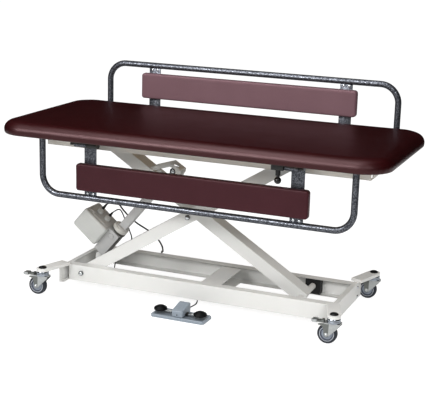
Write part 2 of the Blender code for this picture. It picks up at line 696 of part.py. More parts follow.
def build_actuator(tilt, slide):
    """The actuator drawn lying along +X from its lower pin, then tipped up to the lug."""
    origin = ACTUATOR_BASE
    motor_end = MOTOR_START + MOTOR_LENGTH
    gear_end = motor_end + SIDE_FIT
    collar_end = gear_end + COLLAR_LENGTH

    def along(low, high):
        return (origin.x + low, origin.x + high)

    def raised(low, high):
        return (origin.z + low, origin.z + high)

    outline = [(GEAR_START + 0.012, -GEAR_BELOW), (gear_end, -GEAR_BELOW), (gear_end, GEAR_ABOVE),
               (GEAR_START, GEAR_ABOVE), (GEAR_START, 0.006 - GEAR_BELOW)]
    outline = [(origin.z + up, origin.x + s) for s, up in outline]
    shape = single(add_prism, outline, "y", -GEAR_WIDTH / 2, GEAR_WIDTH / 2)
    turn_about(shape, origin, ACTUATOR_ANGLE)
    gear = add_object("actuator_gear_housing", shape, "dark_grey_plastic", tilt)
    clevis = single(add_box, along(-0.011, GEAR_START + WELD), (-CLEVIS_WIDTH / 2, CLEVIS_WIDTH / 2),
                    raised(-0.009, 0.011))
    turn_about(clevis, origin, ACTUATOR_ANGLE)
    weld(gear, clevis, "actuator_clevis")
    motor = single(add_box, along(MOTOR_START, motor_end), (-MOTOR_WIDTH / 2, MOTOR_WIDTH / 2),
                   raised(GEAR_ABOVE + GAP, GEAR_ABOVE + MOTOR_DEPTH))
    turn_about(motor, origin, ACTUATOR_ANGLE)
    motor = add_object("actuator_motor_housing", motor, "light_grey_plastic", tilt)
    round_edges(motor, 0.012, 3)
    tube = bmesh.new()
    bore = ROD_DIAMETER / 2 + SLIDE_FIT
    outer = TUBE_DIAMETER / 2
    collar = COLLAR_DIAMETER / 2
    profile = [(0, gear_end + GAP), (collar, gear_end + GAP), (collar, collar_end - 0.008),
               (collar - 0.006, collar_end), (outer, collar_end), (outer, TUBE_END), (bore, TUBE_END),
               (bore, gear_end + 0.010), (0, gear_end + 0.010)]
    add_lathe(tube, origin, "x", profile, 24)
    turn_about(tube, origin, ACTUATOR_ANGLE)
    add_object("actuator_outer_tube", tube, "light_grey_plastic", tilt)
    pin = ACTUATOR_SPAN.length
    shape = single(add_rod, origin, "x", ROD_DIAMETER, ROD_START, pin - EYE_DIAMETER / 2 + 2 * WELD, 20)
    turn_about(shape, origin, ACTUATOR_ANGLE)
    rod = add_object("actuator_rod", shape, "bright_steel", slide)
    eye = single(add_rod, ROD_PIN, "y", EYE_DIAMETER, -EYE_WIDTH / 2, EYE_WIDTH / 2, 20)
    weld(rod, eye, "actuator_rod_eye")
    radius = GLAND_DIAMETER / 2
    profile = [(0, motor_end + GAP), (radius, motor_end + GAP), (radius, motor_end + GLAND_LENGTH * 0.6),
               (radius * 0.7, motor_end + GLAND_LENGTH), (0, motor_end + GLAND_LENGTH)]
    for name, offset in zip(("mains_gland", "foot_switch_gland"), GLAND_OFFSETS):
        gland = single(add_lathe, origin + Vector((0, 0, offset)), "x", profile, 16)
        turn_about(gland, origin, ACTUATOR_ANGLE)
        add_object(name, gland, "black_plastic", tilt)


def build_top_frame(top):
    middle = TOP_CHANNEL_CENTRE_X
    half = TOP_CHANNEL_LENGTH / 2
    for name, side in (("top_front_channel", -1), ("top_back_channel", 1)):
        outline = channel_outline(side * CHANNEL_Y, side, TOP_FLANGE,
                                  TOP_CHANNEL_LOW, TOP_CHANNEL_HIGH, CHANNEL_WALL)
        add_object(name, single(add_prism, outline, "x", middle - half, middle + half), "cream_paint", top)
    inside = CHANNEL_Y - TOP_FLANGE - GAP
    for name, end in (("top_left_end", middle - half), ("top_right_end", middle + half - END_BAR_THICKNESS)):
        shape = single(add_box, (end, end + END_BAR_THICKNESS), (-inside, inside),
                       (TOP_CHANNEL_LOW, TOP_CHANNEL_HIGH))
        add_object(name, shape, "cream_paint", top)
    reach = CHANNEL_Y - CHANNEL_WALL - GAP
    add_object("upper_shaft", single(add_rod, UPPER_PIVOT, "y", PIN_DIAMETER, -reach, reach, 20), "zinc", top)


def build_cushion(top):
    """A crowned cushion that wraps the edges of its board and rolls over at the top."""
    corner_steps, long_steps, short_steps = 8, 6, 3
    half_length = TOP_LENGTH / 2
    half_width = TOP_WIDTH / 2

    def ring(inset, height):
        radius = max(TOP_CORNER_RADIUS - inset, 0.012)
        points = rounded_rectangle(half_length - inset, half_width - inset, radius,
                                   corner_steps, long_steps, short_steps)
        return [(point.x, point.y, TOP_LOW + height) for point in points]

    recess = BOARD_THICKNESS + GAP
    shoulder = CUSHION_THICKNESS - CUSHION_CROWN
    roll_start = shoulder - CUSHION_EDGE_ROLL * 0.85
    rings = [ring(BOARD_INSET, recess), ring(BOARD_INSET, 0), ring(0.003, 0), ring(0.0, 0.004)]
    for step in range(7):
        angle = math.radians(90 * step / 6)
        inset = CUSHION_EDGE_ROLL * (1 - math.cos(angle))
        rings.append(ring(inset, roll_start + (shoulder - roll_start) * math.sin(angle)))
    for inset in (0.085, 0.150, 0.230, 0.310):
        share = (inset - CUSHION_EDGE_ROLL) / (0.310 - CUSHION_EDGE_ROLL)
        rings.append(ring(inset, shoulder + CUSHION_CROWN * math.sin(share * math.pi / 2)))
    add_object("cushion", single(add_stack, rings), "maroon_vinyl", top)
    inset = BOARD_INSET + GAP
    outline = rounded_rectangle(half_length - inset, half_width - inset, TOP_CORNER_RADIUS - inset,
                                corner_steps, long_steps, short_steps)
    add_object("top_board", single(add_prism, [tuple(point) for point in outline], "z",
                                   TOP_LOW, TOP_LOW + BOARD_THICKNESS), "plywood", top)


def pivot_block_span(side_x):
    """The X range of a pivot block, which stands just inside its upright."""
    inner = UPRIGHT_CENTRE_X - UPRIGHT_WIDTH / 2 - SIDE_FIT
    return sorted((side_x * (inner - PIVOT_BLOCK_LENGTH), side_x * inner))


def build_guard_supports(name, side_y, top):
    """A bracket, block and pivot pin at each upright; the right-hand block holds the latch."""
    pivot_y = side_y * GUARD_PIVOT_Y
    bracket = (TOP_LOW - GAP - BRACKET_THICKNESS, TOP_LOW - GAP)
    across = sorted((side_y * (CHANNEL_Y + GAP), side_y * (GUARD_PIVOT_Y + PIVOT_BLOCK_DEPTH / 2)))
    block = (GUARD_PIVOT_Z - PIVOT_BLOCK_HEIGHT / 2, bracket[0] + WELD)
    depth = (pivot_y - PIVOT_BLOCK_DEPTH / 2, pivot_y + PIVOT_BLOCK_DEPTH / 2)
    for side_name, side_x in (("left", -1), ("right", 1)):
        node = f"{name}_{side_name}_support"
        span = pivot_block_span(side_x)
        support = add_object(node, single(add_box, span, across, bracket), "black_plastic", top)
        if side_x > 0:
            body = single(add_box, (span[0] + WELD, span[1] - WELD), depth, block)
        else:
            body = single(add_rod, (0, pivot_y, GUARD_PIVOT_Z), "x", PIVOT_BLOCK_HEIGHT + 2 * WELD,
                          span[0] + WELD, span[1] - WELD, 24)
        weld(support, body, node + "_block")
        ends = (side_x * (UPRIGHT_CENTRE_X - UPRIGHT_WIDTH / 2 - 5 * SIDE_FIT),
                side_x * (UPRIGHT_CENTRE_X + UPRIGHT_WIDTH / 2 + 0.018))
        pin = single(add_rod, (0, pivot_y, GUARD_PIVOT_Z), "x", GUARD_PIN_DIAMETER, min(ends), max(ends), 16)
        weld(support, pin, node + "_pin")
        if side_x > 0:
            bore = single(add_rod, (sum(span) / 2, pivot_y, block[0]), "z",
                          PLUNGER_DIAMETER + 4 * GAP, -0.01, 0.009, 16)
            cut(support, bore, node + "_bore")


def build_plunger(name, side_y, parent):
    """A sprung latch pin under its block, with a ball knob to pull."""
    span = pivot_block_span(1)
    middle = sum(span) / 2
    start = GUARD_PIVOT_Z - PIVOT_BLOCK_HEIGHT / 2 + 0.007
    end = start - PLUNGER_LENGTH
    ball = KNOB_DIAMETER / 2
    stem = PLUNGER_DIAMETER / 2
    profile = [(0, start), (stem, start), (stem, end + 0.004)]
    for step in range(1, 8):
        angle = math.pi * step / 8
        profile.append((ball * math.sin(angle), end - ball + ball * math.cos(angle) + 0.004))
    profile.append((0, end - 2 * ball + 0.004))
    add_object(name, single(add_lathe, (middle, side_y * GUARD_PIVOT_Y, 0), "z", profile, 20),
               "black_plastic", parent)


def upright_outline():
    """A strip seen along X: curled round the pivot pin, out along the offset, then along to the tube.

    Points are (out, up) from the pivot for a guard that stands up on the +Y side.
    """
    half = UPRIGHT_THICKNESS / 2
    inner = GUARD_PIN_DIAMETER / 2 + GAP
    eye = inner + half
    bend = 0.012
    lane = -eye
    path = []
    for step in range(13):
        angle = math.radians(215 - 305 * step / 12)
        path.append((eye * math.cos(angle), eye * math.sin(angle)))
    corner = (GUARD_OFFSET - bend, lane + bend)
    for step in range(5):
        angle = math.radians(-90 + 90 * step / 4)
        path.append((corner[0] + bend * math.cos(angle), corner[1] + bend * math.sin(angle)))
    path.append((GUARD_OFFSET, GUARD_REACH - GUARD_TUBE_DIAMETER / 2 + WELD))
    left = []
    right = []
    last = len(path) - 1
    for here in range(last + 1):
        before = Vector(path[max(here - 1, 0)])
        after = Vector(path[min(here + 1, last)])
        along = (after - before).normalized()
        across = Vector((-along.y, along.x)) * half
        left.append(Vector(path[here]) + across)
        right.append(Vector(path[here]) - across)
    return left + right[::-1]


def build_guard(name, side_y, raised, parent):
    """A bent tube on two uprights with a pad; the front guard hangs down and the back one stands up."""
    flip = 1 if raised else -1
    out = side_y * flip

    def place(x, outward, upward):
        return Vector((x, side_y * GUARD_PIVOT_Y + out * outward, GUARD_PIVOT_Z + flip * upward))

    frame = build_guard_tube(name, place, parent)
    outline = []
    for point in upright_outline():
        spot = place(0, point.x, point.y)
        outline.append((spot.y, spot.z))
    for side_name, side_x in (("left", -1), ("right", 1)):
        low = side_x * UPRIGHT_CENTRE_X - UPRIGHT_WIDTH / 2
        weld(frame, single(add_prism, outline, "x", low, low + UPRIGHT_WIDTH), f"{name}_{side_name}_upright")
    pad = bmesh.new()
    face = GUARD_OFFSET - UPRIGHT_THICKNESS / 2 - GAP
    rings = []
    edge = ((0.006, 0.0), (0.001, 0.004), (0.0, 0.010), (0.001, 0.017), (0.004, 0.022),
            (0.010, 0.026), (0.020, 0.028))
    for inset, depth in edge:
        radius = max(PAD_CORNER_RADIUS - inset, 0.003)
        points = rounded_rectangle(PAD_LENGTH / 2 - inset, PAD_HEIGHT / 2 - inset, radius, 4, 6, 2)
        depth = depth * PAD_THICKNESS / edge[-1][1]
        rings.append([place(point.x, face - depth, PAD_FROM_PIVOT + point.y) for point in points])
    add_stack(pad, rings)
    add_object(name + "_pad", pad, "maroon_vinyl", parent)


def build_guard_tube(name, place, parent):
    """A tube bent to a U, with its legs' ends open beside the pivot line."""
    bend = GUARD_BEND_RADIUS
    half = GUARD_HALF_LENGTH
    path = [(-half, 0.0), (-half, GUARD_REACH / 2), (-half, GUARD_REACH - bend)]
    for step in range(1, 7):
        angle = math.radians(180 - 90 * step / 6)
        path.append((-half + bend + bend * math.cos(angle), GUARD_REACH - bend + bend * math.sin(angle)))
    path += [(-x, up) for x, up in reversed(path)]
    shape = bmesh.new()
    sides = 12
    loops = []
    last = len(path) - 1
    for here, (x, up) in enumerate(path):
        before = Vector(path[max(here - 1, 0)])
        after = Vector(path[min(here + 1, last)])
        along = (after - before).normalized()
        across = Vector((-along.y, along.x))
        pair = []
        for radius in (GUARD_TUBE_DIAMETER / 2, GUARD_TUBE_DIAMETER / 2 - GUARD_TUBE_WALL):
            ring = []
            for step in range(sides):
                angle = math.tau * step / sides
                spot = Vector((x, up)) + across * radius * math.cos(angle)
                ring.append(shape.verts.new(place(spot.x, GUARD_OFFSET + radius * math.sin(angle), spot.y)))
            pair.append(ring)
        loops.append(pair)
    for first, second in zip(loops, loops[1:]):
        for layer in (0, 1):
            for step in range(sides):
                after = (step + 1) % sides
                corners = (first[layer][step], first[layer][after])
                shape.faces.new(corners + (second[layer][after], second[layer][step]))
    for outer, inner in (loops[0], loops[-1]):
        for step in range(sides):
            after = (step + 1) % sides
            shape.faces.new((outer[step], outer[after], inner[after], inner[step]))
    return add_object(name + "_frame", shape, "grey_hammer_paint", parent)


def build_foot_switch(root, base):
    half_length = SWITCH_LENGTH / 2
    half_width = SWITCH_WIDTH / 2
    chamfer = SWITCH_CHAMFER
    corners = ((1, 1), (-1, 1), (-1, -1), (1, -1))
    outline = []
    for side_x, side_y in corners:
        cut_x = (SWITCH_X + side_x * (half_length - chamfer), SWITCH_Y + side_y * half_width)
        cut_y = (SWITCH_X + side_x * half_length, SWITCH_Y + side_y * (half_width - chamfer))
        outline += [cut_y, cut_x] if side_x * side_y > 0 else [cut_x, cut_y]
    add_object("foot_switch_plate", single(add_prism, outline, "z", GAP, SWITCH_THICKNESS),
               "blue_grey_plastic", base)
    floor = SWITCH_THICKNESS + GAP
    front = SWITCH_Y - COVER_LENGTH / 2
    back = SWITCH_Y + COVER_LENGTH / 2
    side = [(front, floor), (back, floor), (back, floor + COVER_BACK_HEIGHT),
            (back - 0.012, floor + COVER_BACK_HEIGHT), (front, floor + COVER_FRONT_HEIGHT)]
    cover = add_object("foot_switch_cover",
                       single(add_prism, side, "x", SWITCH_X - COVER_WIDTH / 2, SWITCH_X + COVER_WIDTH / 2),
                       "blue_grey_plastic", base)
    round_edges(cover, 0.004, 2)
    for name, side_x in (("foot_pedal_left", -1), ("foot_pedal_right", 1)):
        hinge = Vector((SWITCH_X + side_x * (COVER_WIDTH / 2 + GAP), SWITCH_Y - 0.008, floor + LINK_HEIGHT))
        rock = axis_empty(name + "_axis", hinge, root)
        tip = hinge.x + side_x * PEDAL_REACH
        shape = single(add_box, sorted((hinge.x, tip)), (hinge.y - LINK_WIDTH / 2, hinge.y + LINK_WIDTH / 2),
                       (hinge.z - LINK_THICKNESS / 2, hinge.z + LINK_THICKNESS / 2))
        pedal = add_object(name, shape, "black_plastic", rock)
        radius = PEDAL_DIAMETER / 2
        seat = hinge.z + LINK_THICKNESS / 2 - WELD
        profile = [(0, seat), (radius, seat), (radius, seat + PEDAL_HEIGHT * 0.35),
                   (radius * 0.88, seat + PEDAL_HEIGHT * 0.70), (radius * 0.55, seat + PEDAL_HEIGHT * 0.93),
                   (0, seat + PEDAL_HEIGHT)]
        weld(pedal, single(add_lathe, (tip, hinge.y, 0), "z", profile, 24), name + "_dome")


def gland_mouth(index):
    """Where a cord leaves its gland, and the way the gland points."""
    along = Vector((math.cos(ACTUATOR_ANGLE), 0, math.sin(ACTUATOR_ANGLE)))
    across = Vector((-along.z, 0, along.x))
    mouth = MOTOR_START + MOTOR_LENGTH + GLAND_LENGTH + GAP
    return ACTUATOR_BASE + mouth * along + GLAND_OFFSETS[index] * across, along


def coil_points():
    """Two flat layers: the cord spirals in on the floor, climbs in half a turn and spirals out on top."""
    pitch = MAINS_DIAMETER + COIL_TURN_GAP
    low = MAINS_DIAMETER / 2 + GAP
    per_turn = 24
    layer = round(COIL_TURNS_PER_LAYER * per_turn)
    points = []
    for index in range(2 * layer + 1):
        angle = math.tau * index / per_turn
        radius = COIL_INNER_RADIUS + pitch * abs(index - layer) / per_turn
        share = (index - layer) / (per_turn / 2) + 0.5
        climb = (1 - math.cos(math.pi * min(max(share, 0), 1))) / 2
        offset = Vector((radius * math.cos(angle), radius * math.sin(angle), low + pitch * climb))
        points.append(Vector((COIL_CENTRE_X, COIL_CENTRE_Y, 0)) + offset)
    first_way = (points[0] - points[1]).normalized()
    last_way = (points[-1] - points[-2]).normalized()
    points.insert(0, points[0] + first_way * MAINS_DIAMETER)
    points.append(points[-1] + last_way * COIL_TAIL)
    return points, first_way, last_way


def least_gap(points, diameter):
    """The least space between turns of a wound cord, measured between points half a turn or more apart."""
    apart = 8
    nearest = min((points[a] - points[b]).length
                  for a in range(len(points)) for b in range(a + apart, len(points)))
    return nearest - diameter


def build_leads(base):
    foot_x = ACTUATOR_BASE_X
    mouth, along = gland_mouth(1)
    cover_back = SWITCH_Y + COVER_LENGTH / 2 + GAP
    cord_low = CORD_DIAMETER / 2 + GAP
    route = [
        (SWITCH_X, cover_back, 0.030),
        (SWITCH_X, cover_back + 0.012, 0.030),
        (SWITCH_X - 0.006, cover_back + 0.045, 0.012),
        (SWITCH_X - 0.010, cover_back + 0.080, cord_low),
        (-0.008, -0.105, cord_low),
        (-0.040, -0.048, cord_low),
        (-0.140, -0.018, cord_low),
        (-0.260, -0.004, cord_low),
        (foot_x + 0.135, 0.004, cord_low),
        (foot_x + 0.080, 0.012, 0.005),
        (foot_x + 0.055, 0.024, 0.022),
        (foot_x + 0.046, 0.036, 0.052),
        (foot_x + 0.054, 0.044, 0.085),
        (foot_x + 0.074, 0.050, 0.112),
        (foot_x + 0.101, 0.052, 0.142),
        (foot_x + 0.119, 0.049, 0.180),
        (foot_x + 0.111, 0.044, 0.216),
        (foot_x + 0.095, 0.036, 0.262),
        tuple(mouth + 0.040 * along + Vector((0.012, 0.018, -0.004))),
        tuple(mouth + 0.020 * along),
        tuple(mouth + 0.010 * along),
        tuple(mouth),
    ]
    route = smooth_route(route, 3 * CORD_DIAMETER)
    add_cord("foot_switch_cord", route, CORD_DIAMETER, 2, "black_rubber", base)
    loops, first_way, last_way = coil_points()
    coil_gap = least_gap(loops, MAINS_DIAMETER)
    print("least gap between turns of the mains coil, mm:", round(coil_gap * 1000, 2))
    mouth, along = gland_mouth(0)
    coil_start = loops[0] + first_way * GAP
    rest = MAINS_DIAMETER / 2 + GAP
    down = Vector((along.z, 0, -along.x))
    leaving = [(0, 0, 0), (0.012, 0, 0), (0.024, 0, 0), (0.0446, 0.0060, 0.0044), (0.0560, 0.0213, 0.0156),
               (0.0540, 0.0367, 0.0269), (0.0445, 0.0527, 0.0390), (0.0345, 0.0705, 0.0545),
               (0.0280, 0.0920, 0.0640), (0.0300, 0.1180, 0.0655), (0.0355, 0.1451, 0.0640)]
    route = [tuple(mouth + out * along + below * down + Vector((0, back, 0))) for out, below, back in leaving]
    route += [
        (foot_x + 0.195, 0.063, 0.219),
        (foot_x + 0.227, 0.072, 0.190),
        (foot_x + 0.237, 0.096, 0.154),
        (foot_x + 0.231, 0.120, 0.125),
        (foot_x + 0.220, 0.139, BASE_HIGH + 0.0118),
        (foot_x + 0.209, 0.156, BASE_HIGH + 0.0076),
        (foot_x + 0.2015, 0.1715, BASE_HIGH - 0.0035),
        (foot_x + 0.1965, 0.1835, BASE_HIGH - 0.0250),
        (-0.300, 0.191, 0.050),
        (-0.2965, 0.199, 0.026),
        (-0.282, 0.211, 0.0105),
        (-0.262, 0.2265, 0.0055),
        (-0.240, 0.2425, rest),
        (-0.222, 0.2560, rest),
        (-0.2082, 0.2677, rest),
        (-0.1971, 0.2834, rest),
        tuple(coil_start + first_way * 0.018),
        tuple(coil_start + first_way * 0.008),
        tuple(coil_start),
    ]
    route = [(x, y, max(z, rest)) for x, y, z in route]
    route = smooth_route(route, 3 * MAINS_DIAMETER)
    add_cord("mains_lead", route, MAINS_DIAMETER, 2, "black_rubber", base)
    add_cord("mains_coil", loops, MAINS_DIAMETER, 1, "black_rubber", base)
    build_plug(loops[-1], last_way, base)


def build_plug(cord_end, way, base):
    """A plain two-pin plug at the coil's outer end, resting on the floor."""
    low = 2 * GAP - cord_end.z
    high = PLUG_HEIGHT - cord_end.z
    middle = (low + high) / 2
    outline = [(0, -PLUG_WIDTH * 0.28), (PLUG_LENGTH * 0.35, -PLUG_WIDTH / 2),
               (PLUG_LENGTH, -PLUG_WIDTH / 2), (PLUG_LENGTH, PLUG_WIDTH / 2),
               (PLUG_LENGTH * 0.35, PLUG_WIDTH / 2), (0, PLUG_WIDTH * 0.28)]
    turned = Matrix.Rotation(math.atan2(way.y, way.x), 4, "Z")
    placed = Matrix.Translation(cord_end + way * GAP) @ turned
    body = single(add_prism, outline, "z", low, high)
    bmesh.ops.transform(body, matrix=placed, verts=body.verts)
    plug = add_object("mains_plug", body, "black_plastic", base)
    for number, offset in enumerate((-0.0095, 0.0095)):
        pin = single(add_rod, (PLUG_LENGTH, offset, middle), "x", 0.0045, -2 * WELD, 0.018, 10)
        bmesh.ops.transform(pin, matrix=placed, verts=pin.verts)
        weld(plug, pin, f"mains_plug_pin_{number}")


def build_table():
    clear_scene()
    shift = Vector((0, CENTRE_SHIFT, 0))
    root = axis_empty("table", (0, 0, 0), None)
    root.location = shift
    base = axis_empty("base", (0, 0, 0), root)
    build_base(base)
    for corner, side_x, side_y in (("front_left", -1, -1), ("front_right", 1, -1),
                                   ("back_left", -1, 1), ("back_right", 1, 1)):
        build_caster(corner, side_x, side_y, root)
    lift = axis_empty("lift_axis", BASE_PIVOT, root)
    inner = axis_empty("centre_axis", CENTRE, root)
    top = axis_empty("top_axis", UPPER_PIVOT, root)
    build_outer_arms(lift)
    build_inner_arm(inner)
    lower = axis_empty("lower_slide_axis", LOWER_SLIDE, root)
    upper = axis_empty("upper_slide_axis", UPPER_SLIDE, root)
    base_middle = (BASE_LOW + BASE_HIGH) / 2
    build_slide_blocks("base", LOWER_SLIDE, base_middle, BASE_CHANNEL_HEIGHT, SHAFT_DIAMETER, lower)
    build_slide_blocks("top", UPPER_SLIDE, UPPER_SLIDE.z, TOP_CHANNEL_HEIGHT, PIN_DIAMETER, upper)
    tilt = axis_empty("actuator_axis", ACTUATOR_BASE, root)
    slide = axis_empty("rod_axis", ROD_PIN, root)
    build_actuator(tilt, slide)
    build_top_frame(top)
    build_cushion(top)
    for name, side_y, raised in (("front_guard", -1, False), ("back_guard", 1, True)):
        pivot = axis_empty(name + "_axis", (0, side_y * GUARD_PIVOT_Y, GUARD_PIVOT_Z), root)
        build_guard_supports(name, side_y, top)
        build_guard(name, side_y, raised, pivot)
        pull = axis_empty(name + "_latch_axis", (0, side_y * GUARD_PIVOT_Y, GUARD_PIVOT_Z), root)
        build_plunger(name + "_latch_plunger", side_y, pull)
    build_foot_switch(root, base)
    build_leads(base)


build_table()
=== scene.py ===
# %% [markdown]
# # An electric changing table, dressed for its picture
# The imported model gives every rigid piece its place. This lesson loads it, then adds what a solid model
# leaves out: vinyl, paint, rubber and plated steel, soft cushions, cords, and the small turned and
# screwed pieces. Each step says what the real thing is and why it is made in the way shown.

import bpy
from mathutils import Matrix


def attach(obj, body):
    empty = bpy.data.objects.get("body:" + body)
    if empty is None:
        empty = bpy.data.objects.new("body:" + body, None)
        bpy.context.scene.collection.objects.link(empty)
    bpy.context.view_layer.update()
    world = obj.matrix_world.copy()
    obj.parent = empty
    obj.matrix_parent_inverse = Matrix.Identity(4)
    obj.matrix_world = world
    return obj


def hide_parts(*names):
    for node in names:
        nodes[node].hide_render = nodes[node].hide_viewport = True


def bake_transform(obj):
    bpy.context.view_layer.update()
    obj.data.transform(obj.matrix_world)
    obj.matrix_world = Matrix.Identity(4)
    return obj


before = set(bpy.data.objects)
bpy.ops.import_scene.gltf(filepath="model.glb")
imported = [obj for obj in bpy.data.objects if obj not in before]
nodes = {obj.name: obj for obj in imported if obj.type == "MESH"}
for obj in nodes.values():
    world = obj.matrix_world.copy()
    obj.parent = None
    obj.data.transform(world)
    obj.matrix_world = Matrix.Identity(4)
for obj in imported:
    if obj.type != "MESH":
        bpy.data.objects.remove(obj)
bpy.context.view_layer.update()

# %% [markdown]
# ## Tools for the whole lesson
# Places are in metres, and the table's own middle line lies a little in front of the frame's origin,
# because the raised guard reaches further back than the lowered one reaches forward. A place that was
# worked out from the table's middle line goes through `at`, which adds that shift.

# %% Numbers and small tools
import math

import bmesh
import bpy
import numpy as np
from mathutils import Matrix, Vector

MM = 0.001
MIDDLE_Y = -0.0146
GAP = 0.3 * MM
UP = (0, 0, 1)
scene = bpy.context.scene


def at(x, y, z):
    """A place given from the table's middle line, in the frame."""
    return Vector((x, y + MIDDLE_Y, z))


def hex_colour(code):
    """An sRGB code such as #a1b2c3 as linear red, green, blue and alpha."""
    shares = [int(code[start:start + 2], 16) / 255 for start in (1, 3, 5)]
    linear = [s / 12.92 if s <= 0.04045 else ((s + 0.055) / 1.055) ** 2.4 for s in shares]
    return (*linear, 1.0)


def add_node(tree, kind, inputs=None, **settings):
    """Add one node. Inputs are plain values or the sockets that feed them; settings are its own options."""
    made = tree.nodes.new(kind)
    for name, value in settings.items():
        setattr(made, name, value)
    for name, value in (inputs or {}).items():
        if isinstance(value, bpy.types.NodeSocket):
            tree.links.new(value, made.inputs[name])
        else:
            made.inputs[name].default_value = value
    return made


def place_object(name, data):
    """A new object in the scene."""
    item = bpy.data.objects.new(name, data)
    scene.collection.objects.link(item)
    return item


# %% [markdown]
# ## The camera
# The camera stands where the photographer stood: to the right of the table's middle, a little above the
# top, with a long lens. These numbers come from fitting known edges of the table to their places in the
# picture, so they are kept as they were solved: two angles, a small roll and a focal length in pixels.

# %% Camera
IMAGE_WIDTH, FOCAL_PIXELS, SENSOR_MM = 430, 1123.07, 36
CAMERA_PLACE = at(1.6514, -4.0121, 1.5027)
turn, tilt, roll = (math.radians(angle) for angle in (22.1672, 14.3007, 1.5519))
ahead = Vector((-math.sin(turn) * math.cos(tilt), math.cos(turn) * math.cos(tilt), -math.sin(tilt)))
level = Vector((math.cos(turn), math.sin(turn), 0))
upward = level.cross(ahead)
camera_x = math.cos(roll) * level + math.sin(roll) * upward
camera_y = math.cos(roll) * upward - math.sin(roll) * level
lens = bpy.data.cameras.new("camera")
lens.sensor_fit = "HORIZONTAL"
lens.sensor_width = SENSOR_MM
lens.lens = SENSOR_MM * FOCAL_PIXELS / IMAGE_WIDTH
scene.camera = place_object("camera", lens)
axes = Matrix((camera_x, camera_y, -ahead)).transposed().to_4x4()
scene.camera.matrix_world = Matrix.Translation(CAMERA_PLACE) @ axes
scene.view_settings.view_transform = "Standard"
print("lens in mm:", round(lens.lens, 2))

# %% [markdown]
# ## Materials
# A material starts from what the real surface is. One function opens a new one with its plain numbers set
# on the shader itself, and each finish then adds its own pattern in Object coordinates, so that a grain of
# so many millimetres stays that size on every piece. `pattern_scale` turns a size in millimetres into the
# scale a texture node asks for. The last function links colour, sheen and bump to the shader.

# %% Opening a material, its patterns, closing it
def open_finish(name, **numbers):
    """A new material, its tree, its shader with plain numbers set, and its Object coordinates."""
    finish = bpy.data.materials.new(name)
    finish.use_nodes = True
    tree = finish.node_tree
    shader = tree.nodes["Principled BSDF"]
    for socket, value in numbers.items():
        shader.inputs[socket.replace("_", " ")].default_value = value
    return finish, tree, shader, add_node(tree, "ShaderNodeTexCoord").outputs["Object"]


def pattern_scale(millimetres):
    return 1 / (millimetres * MM)


def noise(tree, where, millimetres, detail, distortion=0.0):
    """A cloudy noise with lumps of so many millimetres."""
    return add_node(tree, "ShaderNodeTexNoise", {
        "Vector": where, "Scale": pattern_scale(millimetres), "Detail": detail,
        "Distortion": distortion}).outputs


def warped(tree, where, millimetres, share):
    """Coordinates pushed about by a noise, so that cells drawn in them come out uneven."""
    push = noise(tree, where, millimetres, 2.0)["Color"]
    return add_node(tree, "ShaderNodeMix", {"Factor": share, "A": where, "B": push},
                    data_type="VECTOR").outputs["Result"]


def two_tones(tree, share, first, second):
    """A colour between two codes."""
    return add_node(tree, "ShaderNodeMix", {
        "Factor": share, "A": hex_colour(first), "B": hex_colour(second)}, data_type="RGBA").outputs["Result"]


def spread(tree, value, low=0.0, high=1.0, start=0.0, end=1.0):
    """A value's range from start to end, spread from low to high."""
    return add_node(tree, "ShaderNodeMapRange", {
        "Value": value, "From Min": start, "From Max": end, "To Min": low, "To Max": high}).outputs["Result"]


def close_finish(tree, shader, colour, height, strength, depth_mm, sheen=None):
    """Link a colour, a bump of a given depth and perhaps a roughness to the shader."""
    bump = add_node(tree, "ShaderNodeBump", {
        "Height": height, "Strength": strength, "Distance": depth_mm * MM})
    tree.links.new(colour, shader.inputs["Base Color"])
    tree.links.new(bump.outputs["Normal"], shader.inputs["Normal"])
    if sheen is not None:
        tree.links.new(sheen, shader.inputs["Roughness"])


# %% [markdown]
# ### Cream powder coat
# The frame is folded steel with a baked polyester powder. It gives the eye a slightly warm white, a soft
# sheen and a fine orange peel. The peel is about 2 mm from crest to crest; it is drawn at 3 mm so that it
# shows. A second, very broad noise lets the white drift a little, as it does on large painted parts.

# %% Cream powder coat on steel
def cream_powder_coat(name, pale, warm, rough):
    finish, tree, shader, where = open_finish(name, IOR=1.5)
    drift = noise(tree, where, 220, 3.0)["Fac"]
    peel = noise(tree, where, 3, 1.5)["Fac"]
    sheen = spread(tree, drift, rough - 0.05, rough + 0.06)
    close_finish(tree, shader, two_tones(tree, drift, pale, warm), peel, 0.10, 0.3, sheen)
    return finish


cream = cream_powder_coat("cream_powder_coated_steel", "#e8e8e6", "#dfdfdc", 0.40)
print("made", cream.name)

# %% [markdown]
# ### Maroon vinyl
# The top and the pads are covered in coated fabric, calendered and embossed with a fine leather grain. The
# real grain is near 1 mm, too fine for this picture, so its cells are drawn at 2.6 mm and kept shallow; their
# valleys are darkened a little as painted shade. The pads use a lighter roll of the same cloth, and the pad
# that stands up is lighter than the one that hangs: its cover is painted lighter, a painted sheen for the
# light it catches standing up.

# %% Embossed maroon vinyl
def embossed_vinyl(name, deep, light, rough, shine):
    finish, tree, shader, where = open_finish(name, IOR=1.46, Specular_IOR_Level=shine,
                                              Specular_Tint=(1, 0.66, 0.69, 1))
    grain = add_node(tree, "ShaderNodeTexVoronoi", {
        "Vector": warped(tree, where, 7, 0.0016), "Scale": pattern_scale(2.6)}, feature="DISTANCE_TO_EDGE")
    valley = spread(tree, grain.outputs["Distance"], end=0.22)
    cloud = noise(tree, where, 90, 4.0)["Fac"]
    # The grain's valleys darken the colour by up to a fifth: painted shade in the grain.
    grained = add_node(tree, "ShaderNodeMix", {
        "Factor": 1.0, "A": two_tones(tree, cloud, deep, light), "B": spread(tree, valley, 0.80, 1.0)},
        data_type="RGBA", blend_type="MULTIPLY").outputs["Result"]
    sheen = spread(tree, cloud, rough - 0.04, rough + 0.05)
    close_finish(tree, shader, grained, valley, 0.30, 0.4, sheen)
    return finish


